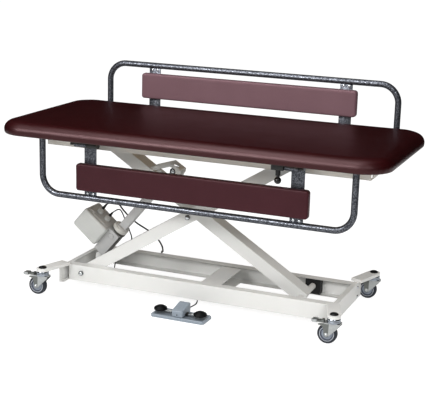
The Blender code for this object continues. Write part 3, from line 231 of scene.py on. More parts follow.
vinyl = embossed_vinyl("maroon_vinyl_embossed", "#240203", "#2f0406", 0.36, 0.40)
pad_vinyl = embossed_vinyl("maroon_vinyl_pad_cover", "#37161c", "#411d24", 0.40, 0.22)
# The raised pad's cover: the same vinyl painted lighter, as a painted sheen for the light it catches.
raised_pad_painted_sheen = embossed_vinyl("maroon_vinyl_pad_cover_painted_sheen", "#6a4e55", "#765960", 0.44, 0.35)
print("made", vinyl.name, pad_vinyl.name, raised_pad_painted_sheen.name)

# %% [markdown]
# ### Grey hammertone
# The guards wear a hammered enamel: a metallic paint that shrinks into small dimples with a bright middle and
# a darker rim. The dimples are 3 to 6 mm, drawn as warped Voronoi cells that drive both tone and height.

# %% Hammertone enamel
def hammertone(name, rim, middle, rough):
    finish, tree, shader, where = open_finish(name, Metallic=0.75, IOR=1.5, Specular_Tint=(0.4, 0.4, 0.42, 1))
    dimple = add_node(tree, "ShaderNodeTexVoronoi", {
        "Vector": warped(tree, where, 9, 0.004), "Scale": pattern_scale(4.5), "Smoothness": 0.35},
        feature="SMOOTH_F1")
    tone = spread(tree, dimple.outputs["Distance"], start=0.05, end=0.62)
    sheen = spread(tree, tone, rough - 0.06, rough + 0.10)
    close_finish(tree, shader, two_tones(tree, tone, middle, rim), tone, 0.18, 0.4, sheen)
    return finish


hammer = hammertone("grey_hammertone_enamel", "#34363b", "#7c7f86", 0.30)
print("made", hammer.name)

# %% [markdown]
# ### Plain metals, plastics and rubbers
# Zinc plate, ground steel, moulded plastics and rubbers differ in colour, gloss and the grain that their
# making leaves. One function serves them: a base colour with a mottle of a given size, and a surface
# texture of a given size and depth. Plating gets a crystalline mottle, mouldings get the fine spark
# texture of their mould. The dark ones mirror less than usual, so that they stay dark against white.

# %% Metals, plastics and rubbers
def textured(name, tone, mottle, mottle_mm, texture_mm, depth_mm, rough, metallic=0.0, specular=0.5):
    finish, tree, shader, where = open_finish(name, Metallic=metallic, Specular_IOR_Level=specular)
    cloud = noise(tree, where, mottle_mm, 4.0)["Fac"]
    fine = noise(tree, where, texture_mm, 2.0)["Fac"]
    sheen = spread(tree, cloud, rough - 0.06, rough + 0.08)
    close_finish(tree, shader, two_tones(tree, cloud, tone, mottle), fine, 0.25, depth_mm, sheen)
    return finish


zinc = textured("zinc_plated_steel", "#96999a", "#b4b7b6", 9, 1.5, 0.05, 0.36, 0.85)
bright_zinc = textured("bright_zinc_screw_plate", "#a9adb0", "#c6cacb", 6, 1.2, 0.03, 0.24, 1.0)
ground_steel = textured("ground_steel_shaft", "#c3c5c6", "#d6d7d6", 14, 0.8, 0.04, 0.24, 1.0)
chrome = textured("chrome_plated_race", "#7f858d", "#9aa0a7", 12, 3.0, 0.02, 0.18, 1.0)
black_plastic = textured("black_nylon_moulded", "#0c0d0e", "#161718", 12, 1.0, 0.08, 0.42, 0, 0.2)
black_gloss = textured("polished_black_phenolic", "#080809", "#101011", 12, 2.0, 0.03, 0.16, 0, 0.3)
black_enamel = textured("black_enamel_bracket", "#1b1d1d", "#2a2c2c", 14, 2.2, 0.10, 0.40, 0, 0.25)
motor_plastic = textured("light_grey_abs_moulded", "#bfc1be", "#c9cac7", 30, 1.0, 0.08, 0.42)
lid_plastic = textured("mid_grey_abs_moulded", "#b4b2ae", "#bfbdb9", 24, 1.0, 0.08, 0.46)
dark_plastic = textured("dark_grey_nylon_moulded", "#43423f", "#51504c", 16, 1.0, 0.08, 0.48, 0, 0.25)
beige_plastic = textured("beige_grey_abs_moulded", "#d0cec8", "#d9d7d1", 24, 1.0, 0.08, 0.44)
gear_plastic = textured("grey_die_cast_aluminium", "#b2b2b2", "#bdbdbc", 18, 1.4, 0.12, 0.44, 0.1)
tube_anodised = textured("silver_anodised_extrusion", "#bdbdbd", "#c8c8c7", 16, 1.2, 0.04, 0.38, 0.25)
tyre_rubber = textured("grey_thermoplastic_rubber", "#22262d", "#2d3139", 10, 1.2, 0.10, 0.60, 0, 0.25)
rim_plastic = textured("pale_grey_nylon_rim", "#a3a8b0", "#b3b7be", 10, 1.0, 0.06, 0.38)
recess_plastic = textured("slate_nylon_hub_recess", "#3f4552", "#4b5160", 10, 1.0, 0.06, 0.45)
hub_plastic = textured("blue_grey_nylon_hub", "#7f8794", "#8f97a3", 10, 1.0, 0.06, 0.40)
# Dull zinc of the brake levers; it is also painted on the forks as painted shade.
lever_zinc_and_fork_shade = textured("dull_zinc_brake_lever_and_painted_fork_shade", "#5b5e5c", "#717471", 7, 1.4, 0.08, 0.42, 0.55)
switch_paint = textured("blue_grey_enamel_casting", "#838d98", "#949ea8", 8, 2.4, 0.20, 0.46, 0, 0.3)
pedal_rubber = textured("black_moulded_rubber", "#050607", "#0c0d0f", 8, 1.2, 0.12, 0.50, 0, 0.1)
lead_pvc = textured("black_pvc_cord", "#0b0b0c", "#131314", 20, 1.2, 0.05, 0.44, 0, 0.25)
switch_mat = textured("slate_enamel_recess", "#626a73", "#727a83", 8, 2.4, 0.20, 0.55, 0, 0.2)
dark_zinc = textured("dulled_zinc_pin", "#4d5052", "#636668", 7, 1.4, 0.06, 0.40, 0.7)
felt = textured("black_dust_cloth", "#191819", "#262526", 4, 1.0, 0.30, 0.90)
print("materials so far:", len(bpy.data.materials))

# %% [markdown]
# ### Plywood
# The board under the cushion is birch plywood. Its grain is a noise stretched along the board, so that the
# figure runs lengthwise.

# %% Plywood
def birch_plywood(name):
    finish, tree, shader, where = open_finish(name, Roughness=0.62)
    stretched = add_node(tree, "ShaderNodeMapping", {"Vector": where, "Scale": (0.06, 1.0, 1.0)})
    figure = noise(tree, stretched.outputs["Vector"], 14, 6.0, 0.6)["Fac"]
    close_finish(tree, shader, two_tones(tree, figure, "#c9a877", "#9a7748"), figure, 0.2, 0.2)
    return finish


plywood = birch_plywood("birch_plywood_board")
print("made", plywood.name)

# %% [markdown]
# ## Dressing the rigid pieces
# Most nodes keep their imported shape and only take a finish. A folded steel edge is never knife sharp, and a
# sharp edge catches no light, so the painted and cast pieces also get two modifiers: Weld joins the packed
# triangles, and Bevel rounds the edges by a millimetre or so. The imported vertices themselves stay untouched.

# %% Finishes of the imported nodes
BASE_RAILS = ["base_front_channel", "base_back_channel", "base_left_end", "base_right_end"]
TOP_RAILS = ["top_front_channel", "top_back_channel"]
SUPPORTS = [guard + "_guard_" + side + "_support"
            for guard in ("front", "back") for side in ("left", "right")]
FINISHES = {
    cream: BASE_RAILS + TOP_RAILS + [
        "base_cross_member", "actuator_mount", "outer_arm_front", "outer_arm_back", "outer_arm_brace",
        "inner_arm", "lower_shaft", "top_left_end", "top_right_end"],
    zinc: ["upper_shaft"],
    dark_zinc: ["base_front_pivot_pin", "base_back_pivot_pin", "centre_shaft"],
    ground_steel: ["actuator_rod"],
    black_plastic: ["base_slide_block_front", "base_slide_block_back", "top_slide_block_front",
                    "top_slide_block_back", "mains_plug"],
    black_enamel: SUPPORTS,
    gear_plastic: ["actuator_gear_housing"],
    switch_paint: ["foot_switch_cover"],
    plywood: ["top_board"],
}
for finish, names in FINISHES.items():
    for name in names:
        nodes[name].data.materials.clear()
        nodes[name].data.materials.append(finish)
print("nodes with a finish:", sum(len(names) for names in FINISHES.values()))

# %% Rounded edges
EDGES_BY_MM = {1.0: ["actuator_mount"] + SUPPORTS, 1.2: ["base_cross_member"] + TOP_RAILS, 1.4: ["inner_arm"],
               1.6: BASE_RAILS, 2.0: ["outer_arm_front", "outer_arm_back", "mains_plug"],
               3.0: ["actuator_gear_housing"]}
for width, names in EDGES_BY_MM.items():
    for name in names:
        joined = nodes[name].modifiers.new("joined", "WELD")
        joined.merge_threshold = 0.02 * MM
        rounded = nodes[name].modifiers.new("rounded", "BEVEL")
        rounded.width = width * MM
        rounded.segments = 2
        rounded.limit_method = "ANGLE"
        rounded.angle_limit = math.radians(35)
        rounded.harden_normals = True
print("nodes with rounded edges:", sum(len(names) for names in EDGES_BY_MM.values()))

# %% [markdown]
# ## Cords
# Two black cords leave the motor box. The mains lead drops behind the arms, crosses the back rail and lies
# in a neat coil behind the table; the thin cord runs along the floor to the foot switch. Each is a tube
# along one smooth curve through the same points as the imported cord. Geometry Nodes sweep a round profile
# along that curve, and the same tree later makes the guards' bent tubes. The cord's first centimetres move
# with the actuator and the rest stays with the base; here each cord is one piece that rides on no body.

# %% The actuator's own directions
ACTUATOR_ANGLE = math.radians(49.98497)
ACTUATOR_FOOT = at(-0.495, 0, 0.110)
actuator_along = Vector((math.cos(ACTUATOR_ANGLE), 0, math.sin(ACTUATOR_ANGLE)))
actuator_across = Vector((-actuator_along.z, 0, actuator_along.x))


def on_actuator(along, side, across):
    """A place given along the actuator from its lower pin, sideways, and across towards the motor."""
    return ACTUATOR_FOOT + along * actuator_along + Vector((0, side, 0)) + across * actuator_across


# %% A tree that sweeps a round tube along a curve
def start_tree(name, sockets):
    """A new Geometry Nodes tree with inputs of the given kinds, and those inputs."""
    tree = bpy.data.node_groups.new(name, "GeometryNodeTree")
    for socket, kind in sockets.items():
        tree.interface.new_socket(socket, in_out="INPUT", socket_type="NodeSocket" + kind)
    tree.interface.new_socket("Mesh", in_out="OUTPUT", socket_type="NodeSocketGeometry")
    return tree, add_node(tree, "NodeGroupInput").outputs


def end_tree(tree, geometry, finish):
    """Make the copies real, paint the mesh and hand it out."""
    whole = add_node(tree, "GeometryNodeRealizeInstances", {"Geometry": geometry})
    painted = add_node(tree, "GeometryNodeSetMaterial", {"Geometry": whole.outputs["Geometry"],
                                                         "Material": finish})
    add_node(tree, "NodeGroupOutput", {"Mesh": painted.outputs["Geometry"]})


def evaluated_mesh(item):
    """What an object's modifiers make of it, as a plain mesh."""
    depsgraph = bpy.context.evaluated_depsgraph_get()
    return bpy.data.meshes.new_from_object(item.evaluated_get(depsgraph), depsgraph=depsgraph)


def grow(name, source, tree, values):
    """Evaluate a tree on an object, and keep the result as a plain mesh object of its own."""
    carrier = place_object(name + "_carrier", source)
    grown = carrier.modifiers.new("grown", "NODES")
    grown.node_group = tree
    for item in tree.interface.items_tree:
        if item.item_type == "SOCKET" and item.in_out == "INPUT" and item.name in values:
            grown[item.identifier] = values[item.name]
    mesh = evaluated_mesh(carrier)
    bpy.data.objects.remove(carrier)
    mesh.name = name
    mesh.shade_smooth()
    mesh.set_sharp_from_angle(angle=math.radians(40))
    return place_object(name, mesh)


def grow_tube(name, points, diameter, sides, finish):
    """A round tube along a line of points."""
    curve = bpy.data.curves.new(name, "CURVE")
    curve.dimensions = "3D"
    spline = curve.splines.new("POLY")
    spline.points.add(len(points) - 1)
    for knot, point in zip(spline.points, points):
        knot.co = (*point, 1)
    return grow(name, curve, round_tube, {"Diameter": diameter, "Sides": sides, "Finish": finish})


round_tube, given = start_tree("round_tube", {"Path": "Geometry", "Diameter": "Float", "Sides": "Int",
                                              "Finish": "Material"})
half = add_node(round_tube, "ShaderNodeMath", {0: given["Diameter"], 1: 0.5}, operation="MULTIPLY")
circle = add_node(round_tube, "GeometryNodeCurvePrimitiveCircle", {"Resolution": given["Sides"],
                                                                   "Radius": half.outputs["Value"]})
swept = add_node(round_tube, "GeometryNodeCurveToMesh", {
    "Curve": given["Path"], "Profile Curve": circle.outputs["Curve"], "Fill Caps": True})
end_tree(round_tube, swept.outputs["Mesh"], given["Finish"])
print("tree:", round_tube.name, len(round_tube.nodes), "nodes")


# %% Routes of the cords, point for point as packed
def route_length(points):
    return sum((after - before).length for before, after in zip(points, points[1:]))


def smooth_route(points, spacing, steps=40):
    """Points a given distance apart on a smooth curve through the route's own points."""
    knots = [2 * points[0] - points[1]] + points + [2 * points[-1] - points[-2]]
    fine = []
    for first, second, third, fourth in zip(knots, knots[1:], knots[2:], knots[3:]):
        for step in range(steps):
            t = step / steps
            linear = (third - first) * t
            square = (2 * first - 5 * second + 4 * third - fourth) * t * t
            cube = (3 * second - first - 3 * third + fourth) * t ** 3
            fine.append(second + (linear + square + cube) / 2)
    fine.append(knots[-2])
    length = route_length(fine)
    count = max(8, round(length / spacing))
    route = [fine[0]]
    travelled = 0
    for before, after in zip(fine, fine[1:]):
        travelled += (after - before).length
        if travelled >= length * len(route) / count and len(route) < count:
            route.append(after)
    route.append(fine[-1])
    return route


MAINS_DIAMETER, CORD_DIAMETER = 6.8 * MM, 5.2 * MM
GLAND_REACH, MAINS_ACROSS, SWITCH_ACROSS = 0.1583, 0.121, 0.079
mains_mouth = on_actuator(GLAND_REACH, 0, MAINS_ACROSS)
switch_mouth = on_actuator(GLAND_REACH, 0, SWITCH_ACROSS)
cord_low = CORD_DIAMETER / 2 + GAP
switch_route = [at(*place) for place in (
    (0.001, -0.2357, 0.030), (0.001, -0.2237, 0.030), (-0.005, -0.1907, 0.012), (-0.009, -0.1557, cord_low),
    (-0.008, -0.105, cord_low), (-0.040, -0.048, cord_low), (-0.140, -0.018, cord_low),
    (-0.260, -0.004, cord_low), (-0.360, 0.004, cord_low), (-0.415, 0.012, 0.005), (-0.440, 0.024, 0.022),
    (-0.449, 0.036, 0.052), (-0.441, 0.044, 0.085), (-0.421, 0.050, 0.112), (-0.394, 0.052, 0.142),
    (-0.376, 0.049, 0.180), (-0.384, 0.044, 0.216), (-0.400, 0.036, 0.262))]
switch_route.append(switch_mouth + 0.040 * actuator_along + Vector((0.012, 0.018, -0.004)))
switch_route += [switch_mouth + out * actuator_along for out in (0.020, 0.010, 0)]
switch_points = smooth_route(switch_route, 5 * MM)
print("foot switch cord, m:", round(route_length(switch_points), 3))

# %% The mains lead and its coil as one cord
BASE_HIGH = 0.1013
COIL_MIDDLE = at(-0.250, 0.326, 0)
COIL_INNER, COIL_PITCH, COIL_LAYER, PER_TURN = 0.027, 7.6 * MM, 75, 24
mains_low = MAINS_DIAMETER / 2 + GAP
coil = []
for index in range(2 * COIL_LAYER + 1):
    angle = math.tau * index / PER_TURN
    radius = COIL_INNER + COIL_PITCH * abs(index - COIL_LAYER) / PER_TURN
    share = (index - COIL_LAYER) / (PER_TURN / 2) + 0.5
    climb = (1 - math.cos(math.pi * min(max(share, 0), 1))) / 2
    spoke = Vector((radius * math.cos(angle), radius * math.sin(angle), mains_low + COIL_PITCH * climb))
    coil.append(COIL_MIDDLE + spoke)
first_way = (coil[0] - coil[1]).normalized()
last_way = (coil[-1] - coil[-2]).normalized()
coil.insert(0, coil[0] + first_way * MAINS_DIAMETER)
coil.append(coil[-1] + last_way * 0.080)
coil_start = coil[0] + first_way * GAP
leaving = [(0, 0, 0), (12, 0, 0), (24, 0, 0), (44.6, 6.0, 4.4), (56.0, 21.3, 15.6), (54.0, 36.7, 26.9),
           (44.5, 52.7, 39.0), (34.5, 70.5, 54.5), (28.0, 92.0, 64.0), (30.0, 118.0, 65.5),
           (35.5, 145.1, 64.0)]
lead_route = [mains_mouth + (out * actuator_along - below * actuator_across + Vector((0, back, 0))) * MM
              for out, below, back in leaving]
lead_route += [at(*place) for place in (
    (-0.300, 0.063, 0.219), (-0.268, 0.072, 0.190), (-0.258, 0.096, 0.154), (-0.264, 0.120, 0.125),
    (-0.275, 0.139, BASE_HIGH + 0.0118), (-0.286, 0.156, BASE_HIGH + 0.0076),
    (-0.2935, 0.1715, BASE_HIGH - 0.0035), (-0.2985, 0.1835, BASE_HIGH - 0.0250), (-0.300, 0.191, 0.050),
    (-0.2965, 0.199, 0.026), (-0.282, 0.211, 0.0105), (-0.262, 0.2265, 0.0055), (-0.240, 0.2425, mains_low),
    (-0.222, 0.2560, mains_low), (-0.2082, 0.2677, mains_low), (-0.1971, 0.2834, mains_low))]
lead_route += [coil_start + first_way * before for before in (0.018, 0.008, 0)]
mains_points = smooth_route(lead_route, 6 * MM) + coil
print("mains lead with its coil, m:", round(route_length(mains_points), 3))


# %% Sweep the cords
def lay_cord(name, points, diameter, nodes_stood_for):
    piece = grow_tube(name, points, diameter, 16, lead_pvc)
    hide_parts(*nodes_stood_for)
    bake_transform(piece)
    print(name, "points:", len(points), "faces:", len(piece.data.polygons))


lay_cord("mains_lead_and_coil", mains_points, MAINS_DIAMETER,
         ("mains_lead", "mains_coil"))
lay_cord("switch_cord", switch_points, CORD_DIAMETER,
         ("foot_switch_cord",))

# %% [markdown]
# ## Turned and screwed small pieces
# Wheels, caps, screw heads and strain reliefs are turned shapes. `add_turned` spins a profile of (radius,
# height) points in millimetres about any line. `finish_piece` turns a drawing into an object that rides on
# a body, and `turn_piece` does both for a piece that is made of turned shapes only.

# %% Turning and finishing
def add_turned(shape, profile, foot, axis, sides=32, tones=None, unit=MM):
    """Spin (radius, height) points about a line from foot along axis; tones gives each band its slot."""
    axis = Vector(axis).normalized()
    side = axis.orthogonal().normalized()
    other = axis.cross(side)
    rings = []
    for radius, height in profile:
        ring = []
        for step in range(sides if radius > 0 else 1):
            angle = math.tau * step / sides
            spoke = side * math.cos(angle) + other * math.sin(angle)
            ring.append(shape.verts.new(Vector(foot) + axis * (height * unit) + spoke * (radius * unit)))
        rings.append(ring)
    for band, (lower, upper) in enumerate(zip(rings, rings[1:])):
        for step in range(sides):
            after = (step + 1) % sides
            corners = [lower[step % len(lower)], lower[after % len(lower)],
                       upper[after % len(upper)], upper[step % len(upper)]]
            face = shape.faces.new(list(dict.fromkeys(corners)))
            face.material_index = tones[band] if tones else 0


def close_shape(name, shape):
    """A drawing as a mesh, with its faces outward."""
    bmesh.ops.recalc_face_normals(shape, faces=shape.faces)
    mesh = bpy.data.meshes.new(name)
    shape.to_mesh(mesh)
    shape.free()
    return mesh


def finish_piece(name, shape, finishes, body, stands_for=(), crease=35):
    """Close a drawing as a piece on a body, with its creases kept."""
    mesh = close_shape(name, shape)
    mesh.shade_smooth()
    mesh.set_sharp_from_angle(angle=math.radians(crease))
    for finish in finishes:
        mesh.materials.append(finish)
    piece = place_object(name, mesh)
    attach(piece, body)
    if stands_for:
        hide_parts(*stands_for)
    return piece


def turn_piece(name, turns, finishes, body, stands_for=(), crease=35, joined=False):
    """A piece of turned shapes, each given as add_turned takes it; joined closes a profile on itself."""
    shape = bmesh.new()
    for turned in turns:
        add_turned(shape, *turned)
    if joined:
        bmesh.ops.remove_doubles(shape, verts=shape.verts, dist=0.001 * MM)
    return finish_piece(name, shape, finishes, body, stands_for, crease)


# %% [markdown]
# ### Caster wheels
# Each caster has a grey rubber tyre on a paler nylon hub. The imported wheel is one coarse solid, so it is
# stood for by a finer turned one: a tyre with rounded shoulders, a groove where the rubber meets the hub, a
# dished web and a bearing boss. The hub's dish is what shows as a bright ring in the picture.

# %% Wheels
CORNERS = {"front_left": (-1, -1), "front_right": (1, -1), "back_left": (-1, 1), "back_right": (1, 1)}
CASTER_X, CASTER_Y, WHEEL_TRAIL, WHEEL_RADIUS = 0.6097, 0.2809, 0.0216, 0.0375


def stem_place(corner):
    side_x, side_y = CORNERS[corner]
    return at(side_x * CASTER_X, side_y * CASTER_Y, 0)


def axle_place(corner):
    return stem_place(corner) + Vector((-WHEEL_TRAIL, 0, WHEEL_RADIUS))


half_profile = [(37.5, 0), (37.4, 4.5), (36.9, 8.0), (35.6, 10.8), (33.6, 12.4), (31.0, 12.9), (29.0, 12.6),
                (28.2, 11.6), (27.6, 12.5), (25.2, 12.6), (24.2, 11.0), (23.2, 8.4), (20.6, 8.0), (19.8, 9.0),
                (14.5, 9.6), (12.2, 10.2), (11.0, 12.2), (9.8, 13.0), (5.2, 13.0)]
half_tones = [0] * 7 + [1] * 2 + [2] * 3 + [3] * 6
profile = [(radius, -height) for radius, height in reversed(half_profile)] + half_profile[1:]
profile.append(profile[0])
tones = half_tones[::-1] + half_tones + [3]
for corner in CORNERS:
    wheel = turn_piece("dressed_wheel_" + corner, [(profile, axle_place(corner), (0, 1, 0), 64, tones)],
                       [tyre_rubber, rim_plastic, recess_plastic, hub_plastic], "wheel_" + corner,
                       ["caster_wheel_" + corner], joined=True)
print("wheel triangles:", len(wheel.data.polygons) * 2)

# %% [markdown]
# ### Caps, chromed races and axle nuts
# Above each caster a black plastic cap closes the tongue's hole. Under the tongue sits the swivel's race, a
# chromed cup with a groove between its two halves. The axle ends in a domed nut on each side of the fork.

# %% Caster fittings
CAP_FOOT = Vector((0, 0, 112.35)) * MM
NUT_SIDE = 18.05 * MM
cap = [(0, 0), (16.2, 0), (16.2, 1.6), (15.2, 3.8), (12.4, 5.6), (7.5, 6.7), (0, 7.0)]
cup = [(0, 82.2), (24.6, 82.2), (25.4, 84.2), (25.4, 89.2), (24.2, 90.2), (24.2, 91.2), (25.4, 92.2),
       (25.4, 97.3), (24.0, 99.8), (0, 99.8)]
nut = [(0, 0), (7.2, 0), (7.2, 0.9), (5.6, 1.0), (5.2, 3.2), (3.4, 4.6), (0, 5.0)]
for corner in CORNERS:
    stem = stem_place(corner)
    turn_piece("caster_cap_" + corner, [(cap, stem + CAP_FOOT, UP, 48)], [black_plastic], "base")
    turn_piece("caster_race_" + corner, [(cup, stem, UP, 48)], [chrome], "caster_" + corner)
    nuts = [(nut, axle_place(corner) + Vector((0, side * NUT_SIDE, 0)), (0, side, 0), 24) for side in (-1, 1)]
    turn_piece("axle_nuts_" + corner, nuts, [zinc], "caster_" + corner)
print("caster fittings on", len(CORNERS), "casters")

# %% [markdown]
# ### Forks and brake levers
# A caster fork is pressed from one sheet: two cheeks folded down from a crown, each with a crease that
# stiffens it and an ear over the wheel. The cheek is drawn as two flat fields that meet in the crease. The
# field round the axle and the inner faces of the cheeks take the darker zinc of the brake levers: painted
# shade for the field that turns from the light and for the shadow inside the fork. The front casters have a
# stamped brake lever with a ribbed tip for the shoe.

# %% Forks
def join_loops(shape, lower, upper, tone=0):
    """Quads between two loops of the same count."""
    for here in range(len(lower)):
        there = (here + 1) % len(lower)
        shape.faces.new((lower[here], lower[there], upper[there], upper[here])).material_index = tone


def add_box(shape, middle, size, turned=Matrix(), round_mm=0.0, steps=2):
    """A box of a size in metres round its middle, perhaps turned and with rounded edges."""
    placed = Matrix.Translation(middle) @ turned @ Matrix.Diagonal((*size, 1))
    made = bmesh.ops.create_cube(shape, size=1, matrix=placed)
    if round_mm:
        edges = list(dict.fromkeys(edge for vertex in made["verts"] for edge in vertex.link_edges))
        bmesh.ops.bevel(shape, geom=edges, offset=round_mm * MM, segments=steps, profile=0.5, affect="EDGES")


SHEET = 2.6
left_field = [(-13, 79), (-40, 78), (-51, 76), (-56, 73), (-54, 70), (-45, 69.5), (-36, 65), (-33, 56),
              (-31.6, 37.5), (-28.7, 30.4), (-21.6, 27.5), (-14.5, 30.4)]
cheek = left_field + [(28, 74), (27, 79)]
lateral = [18, 16, 15, 14.6, 14.8, 15.6, 16.6, 17, 17.2, 17.4, 17.8, 18, 15.6, 15.6]
crease = len(left_field)
axle_rod = [(0, -15.5), (4.8, -15.5), (4.8, 15.5), (0, 15.5)]
for corner in CORNERS:
    stem = stem_place(corner)
    fork = bmesh.new()
    for side in (-1, 1):
        outer, inner = ([fork.verts.new(stem + Vector((x, side * (y - inward), z)) * MM)
                         for (x, z), y in zip(cheek, lateral)] for inward in (0, SHEET))
        # The field round the axle and the inner faces take the darker zinc: painted shade.
        for loop, tone in ((outer, 0), (inner, 1)):
            fork.faces.new(loop[:crease]).material_index = 1
            fork.faces.new([loop[0]] + loop[crease - 1:]).material_index = tone
        join_loops(fork, outer, inner)
    add_box(fork, stem + Vector((-3, 0, 80)) * MM, (60 * MM, 35.6 * MM, 4 * MM))
    add_turned(fork, axle_rod, axle_place(corner), (0, 1, 0), 16)
    finish_piece("dressed_fork_" + corner, fork, [zinc, lever_zinc_and_fork_shade], "caster_" + corner,
                 ["caster_fork_" + corner], 4)
print("forks:", len(CORNERS))


# %% Brake levers
def add_prism(shape, outline, middle, half_width, tone=0):
    """Push an (x, z) outline in millimetres to both sides of a middle place."""
    loops = []
    for side in (-1, 1):
        loops.append([shape.verts.new(middle + Vector((x, side * half_width, z)) * MM) for x, z in outline])
        shape.faces.new(loops[-1]).material_index = tone
    join_loops(shape, *loops, tone)


bar = [(-34.4, 79.0), (-63, 78.6), (-63, 84.2), (-47, 85.4), (-43, 89.4), (-38, 89.8), (-36, 86.0),
       (-34.4, 85.6)]
tip = [(-61, 77.0), (-77, 76.6), (-82.8, 80.6), (-82.0, 84.6)]
for rib in range(6):
    tip += [(-80.6 + 3.4 * rib, 87.2 + 0.3 * rib), (-78.8 + 3.4 * rib, 86.0 + 0.3 * rib)]
for corner in ("front_left", "front_right"):
    lever = bmesh.new()
    add_prism(lever, bar, stem_place(corner), 11)
    add_prism(lever, tip, stem_place(corner), 13, 1)
    finish_piece("brake_lever_" + corner, lever, [lever_zinc_and_fork_shade, zinc], "brake_" + corner,
                 ["brake_pedal_" + corner], 25)
print("brake levers: 2")

# %% [markdown]
# ### Screws and bolts
# The same few fasteners come back all over the table, so one head of each kind is modelled once and
# Geometry Nodes plant it on points. Each point carries a vector named aim, which turns the head to its
# face. The tree ends by making the copies real and painting them, so that one plain mesh per body is left.

# %% A tree that plants a part on points
planted, given = start_tree("planted_fasteners", {"Places": "Geometry", "Head": "Object", "Size": "Float",
                                                  "Finish": "Material"})
aim = add_node(planted, "GeometryNodeInputNamedAttribute", {"Name": "aim"}, data_type="FLOAT_VECTOR")
turned = add_node(planted, "FunctionNodeAlignRotationToVector", {"Vector": aim.outputs["Attribute"]},
                  axis="Z")
one_head = add_node(planted, "GeometryNodeObjectInfo", {"Object": given["Head"]})
copies = add_node(planted, "GeometryNodeInstanceOnPoints", {
    "Points": given["Places"], "Instance": one_head.outputs["Geometry"],
    "Rotation": turned.outputs["Rotation"], "Scale": given["Size"]})
end_tree(planted, copies.outputs["Instances"], given["Finish"])


def fastener_head(name, profile, drive=0, depth=0, sides=28):
    """A turned head, perhaps with a six-sided hollow; one unit is a millimetre of the real head."""
    shape = bmesh.new()
    add_turned(shape, profile, (0, 0, 0), UP, sides, unit=1)
    head = place_object(name + "_head", close_shape(name, shape))
    head.hide_render = True
    if drive:
        top = profile[-1][1]
        hollow = bmesh.new()
        bore = [(0, top - depth), (drive, top - depth), (drive, top + 1), (0, top + 1)]
        add_turned(hollow, bore, (0, 0, 0), UP, 6, unit=1)
        cutter = place_object(name + "_hollow", close_shape(name + "_hollow", hollow))
        bored = head.modifiers.new("bored", "BOOLEAN")
        bored.operation = "DIFFERENCE"
        bored.object = cutter
        mesh = evaluated_mesh(head)
        head.modifiers.remove(bored)
        head.data = mesh
        bpy.data.objects.remove(cutter)
    return head


button_head = fastener_head("button_screw", [(0, 0), (5.0, 0), (5.0, 0.5), (4.6, 1.5), (3.6, 2.4), (2.2, 2.9),
                                             (0, 3.0)], 1.6, 1.4)
pan_head = fastener_head("pan_screw", [(0, 0), (5.0, 0), (4.8, 1.0), (3.6, 1.8), (0, 2.1)])
dome_head = fastener_head("dome_nut", [(0, 0), (8.2, 0), (8.0, 1.2), (6.8, 2.8), (4.4, 4.0), (0, 4.6)],
                          sides=36)
print("tree:", planted.name, "heads:", button_head.name, pan_head.name, dome_head.name)


# %% Plant the fasteners
def plant(name, spots, head, size, body):
    """Plant a bright head on (place, direction) spots as one piece on a body."""
    points = bpy.data.meshes.new(name + "_spots")
    points.from_pydata([tuple(place) for place, way in spots], [], [])
    aims = points.attributes.new("aim", "FLOAT_VECTOR", "POINT")
    aims.data.foreach_set("vector", [value for place, way in spots for value in way])
    piece = grow(name, points, planted, {"Head": head, "Size": size * MM, "Finish": bright_zinc})
    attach(piece, body)
    print(name, "on", body + ":", len(spots), "heads,", len(piece.data.polygons), "faces")


end_bolts = [(at(side * 0.58005, y, z), (side, 0, 0))
             for side in (-1, 1) for y in (-0.147, 0.147) for z in (0.046, 0.083)]
plant("base_end_bolts", end_bolts, button_head, 1.25, "base")
pin_sockets = [(at(-0.502, side * 0.1634, 0.070), (0, side, 0)) for side in (-1, 1)]
plant("base_pin_bolts", pin_sockets, dome_head, 1.0, "base")
shaft_ends = [(at(-0.0496, side * 0.12235, 0.3538), (0, side, 0)) for side in (-1, 1)]
plant("centre_shaft_nuts", shaft_ends, dome_head, 1.0, "outer_arms")

# %% [markdown]
# ## The flip guards
# Each guard is one bent tube, carried by two flat uprights that curl round a pivot pin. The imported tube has
# twelve sides; here the sweep tree draws it round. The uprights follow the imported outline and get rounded
# edges.

# %% Guard sizes
GUARD_PIVOT_Y, GUARD_PIVOT_Z = 0.290, 0.638517
GUARD_REACH, GUARD_OFFSET, GUARD_HALF, GUARD_BEND, GUARD_TUBE = 0.2305, 0.0765, 0.6438, 0.075, 0.0254
UPRIGHT_X, UPRIGHT_WIDTH, UPRIGHT_THICKNESS = 0.4275, 0.052, 0.005
GUARDS = {"front": (-1, -1), "back": (1, 1)}


def guard_place(guard, x, outward, up):
    """A place on a guard, from its pivot line: the front guard hangs down and the back one stands up."""
    side, flip = GUARDS[guard]
    return at(x, side * GUARD_PIVOT_Y + side * flip * outward, GUARD_PIVOT_Z + flip * up)


def guard_way(guard, outward, up):
    side, flip = GUARDS[guard]
    return Vector((0, side * flip * outward, flip * up))


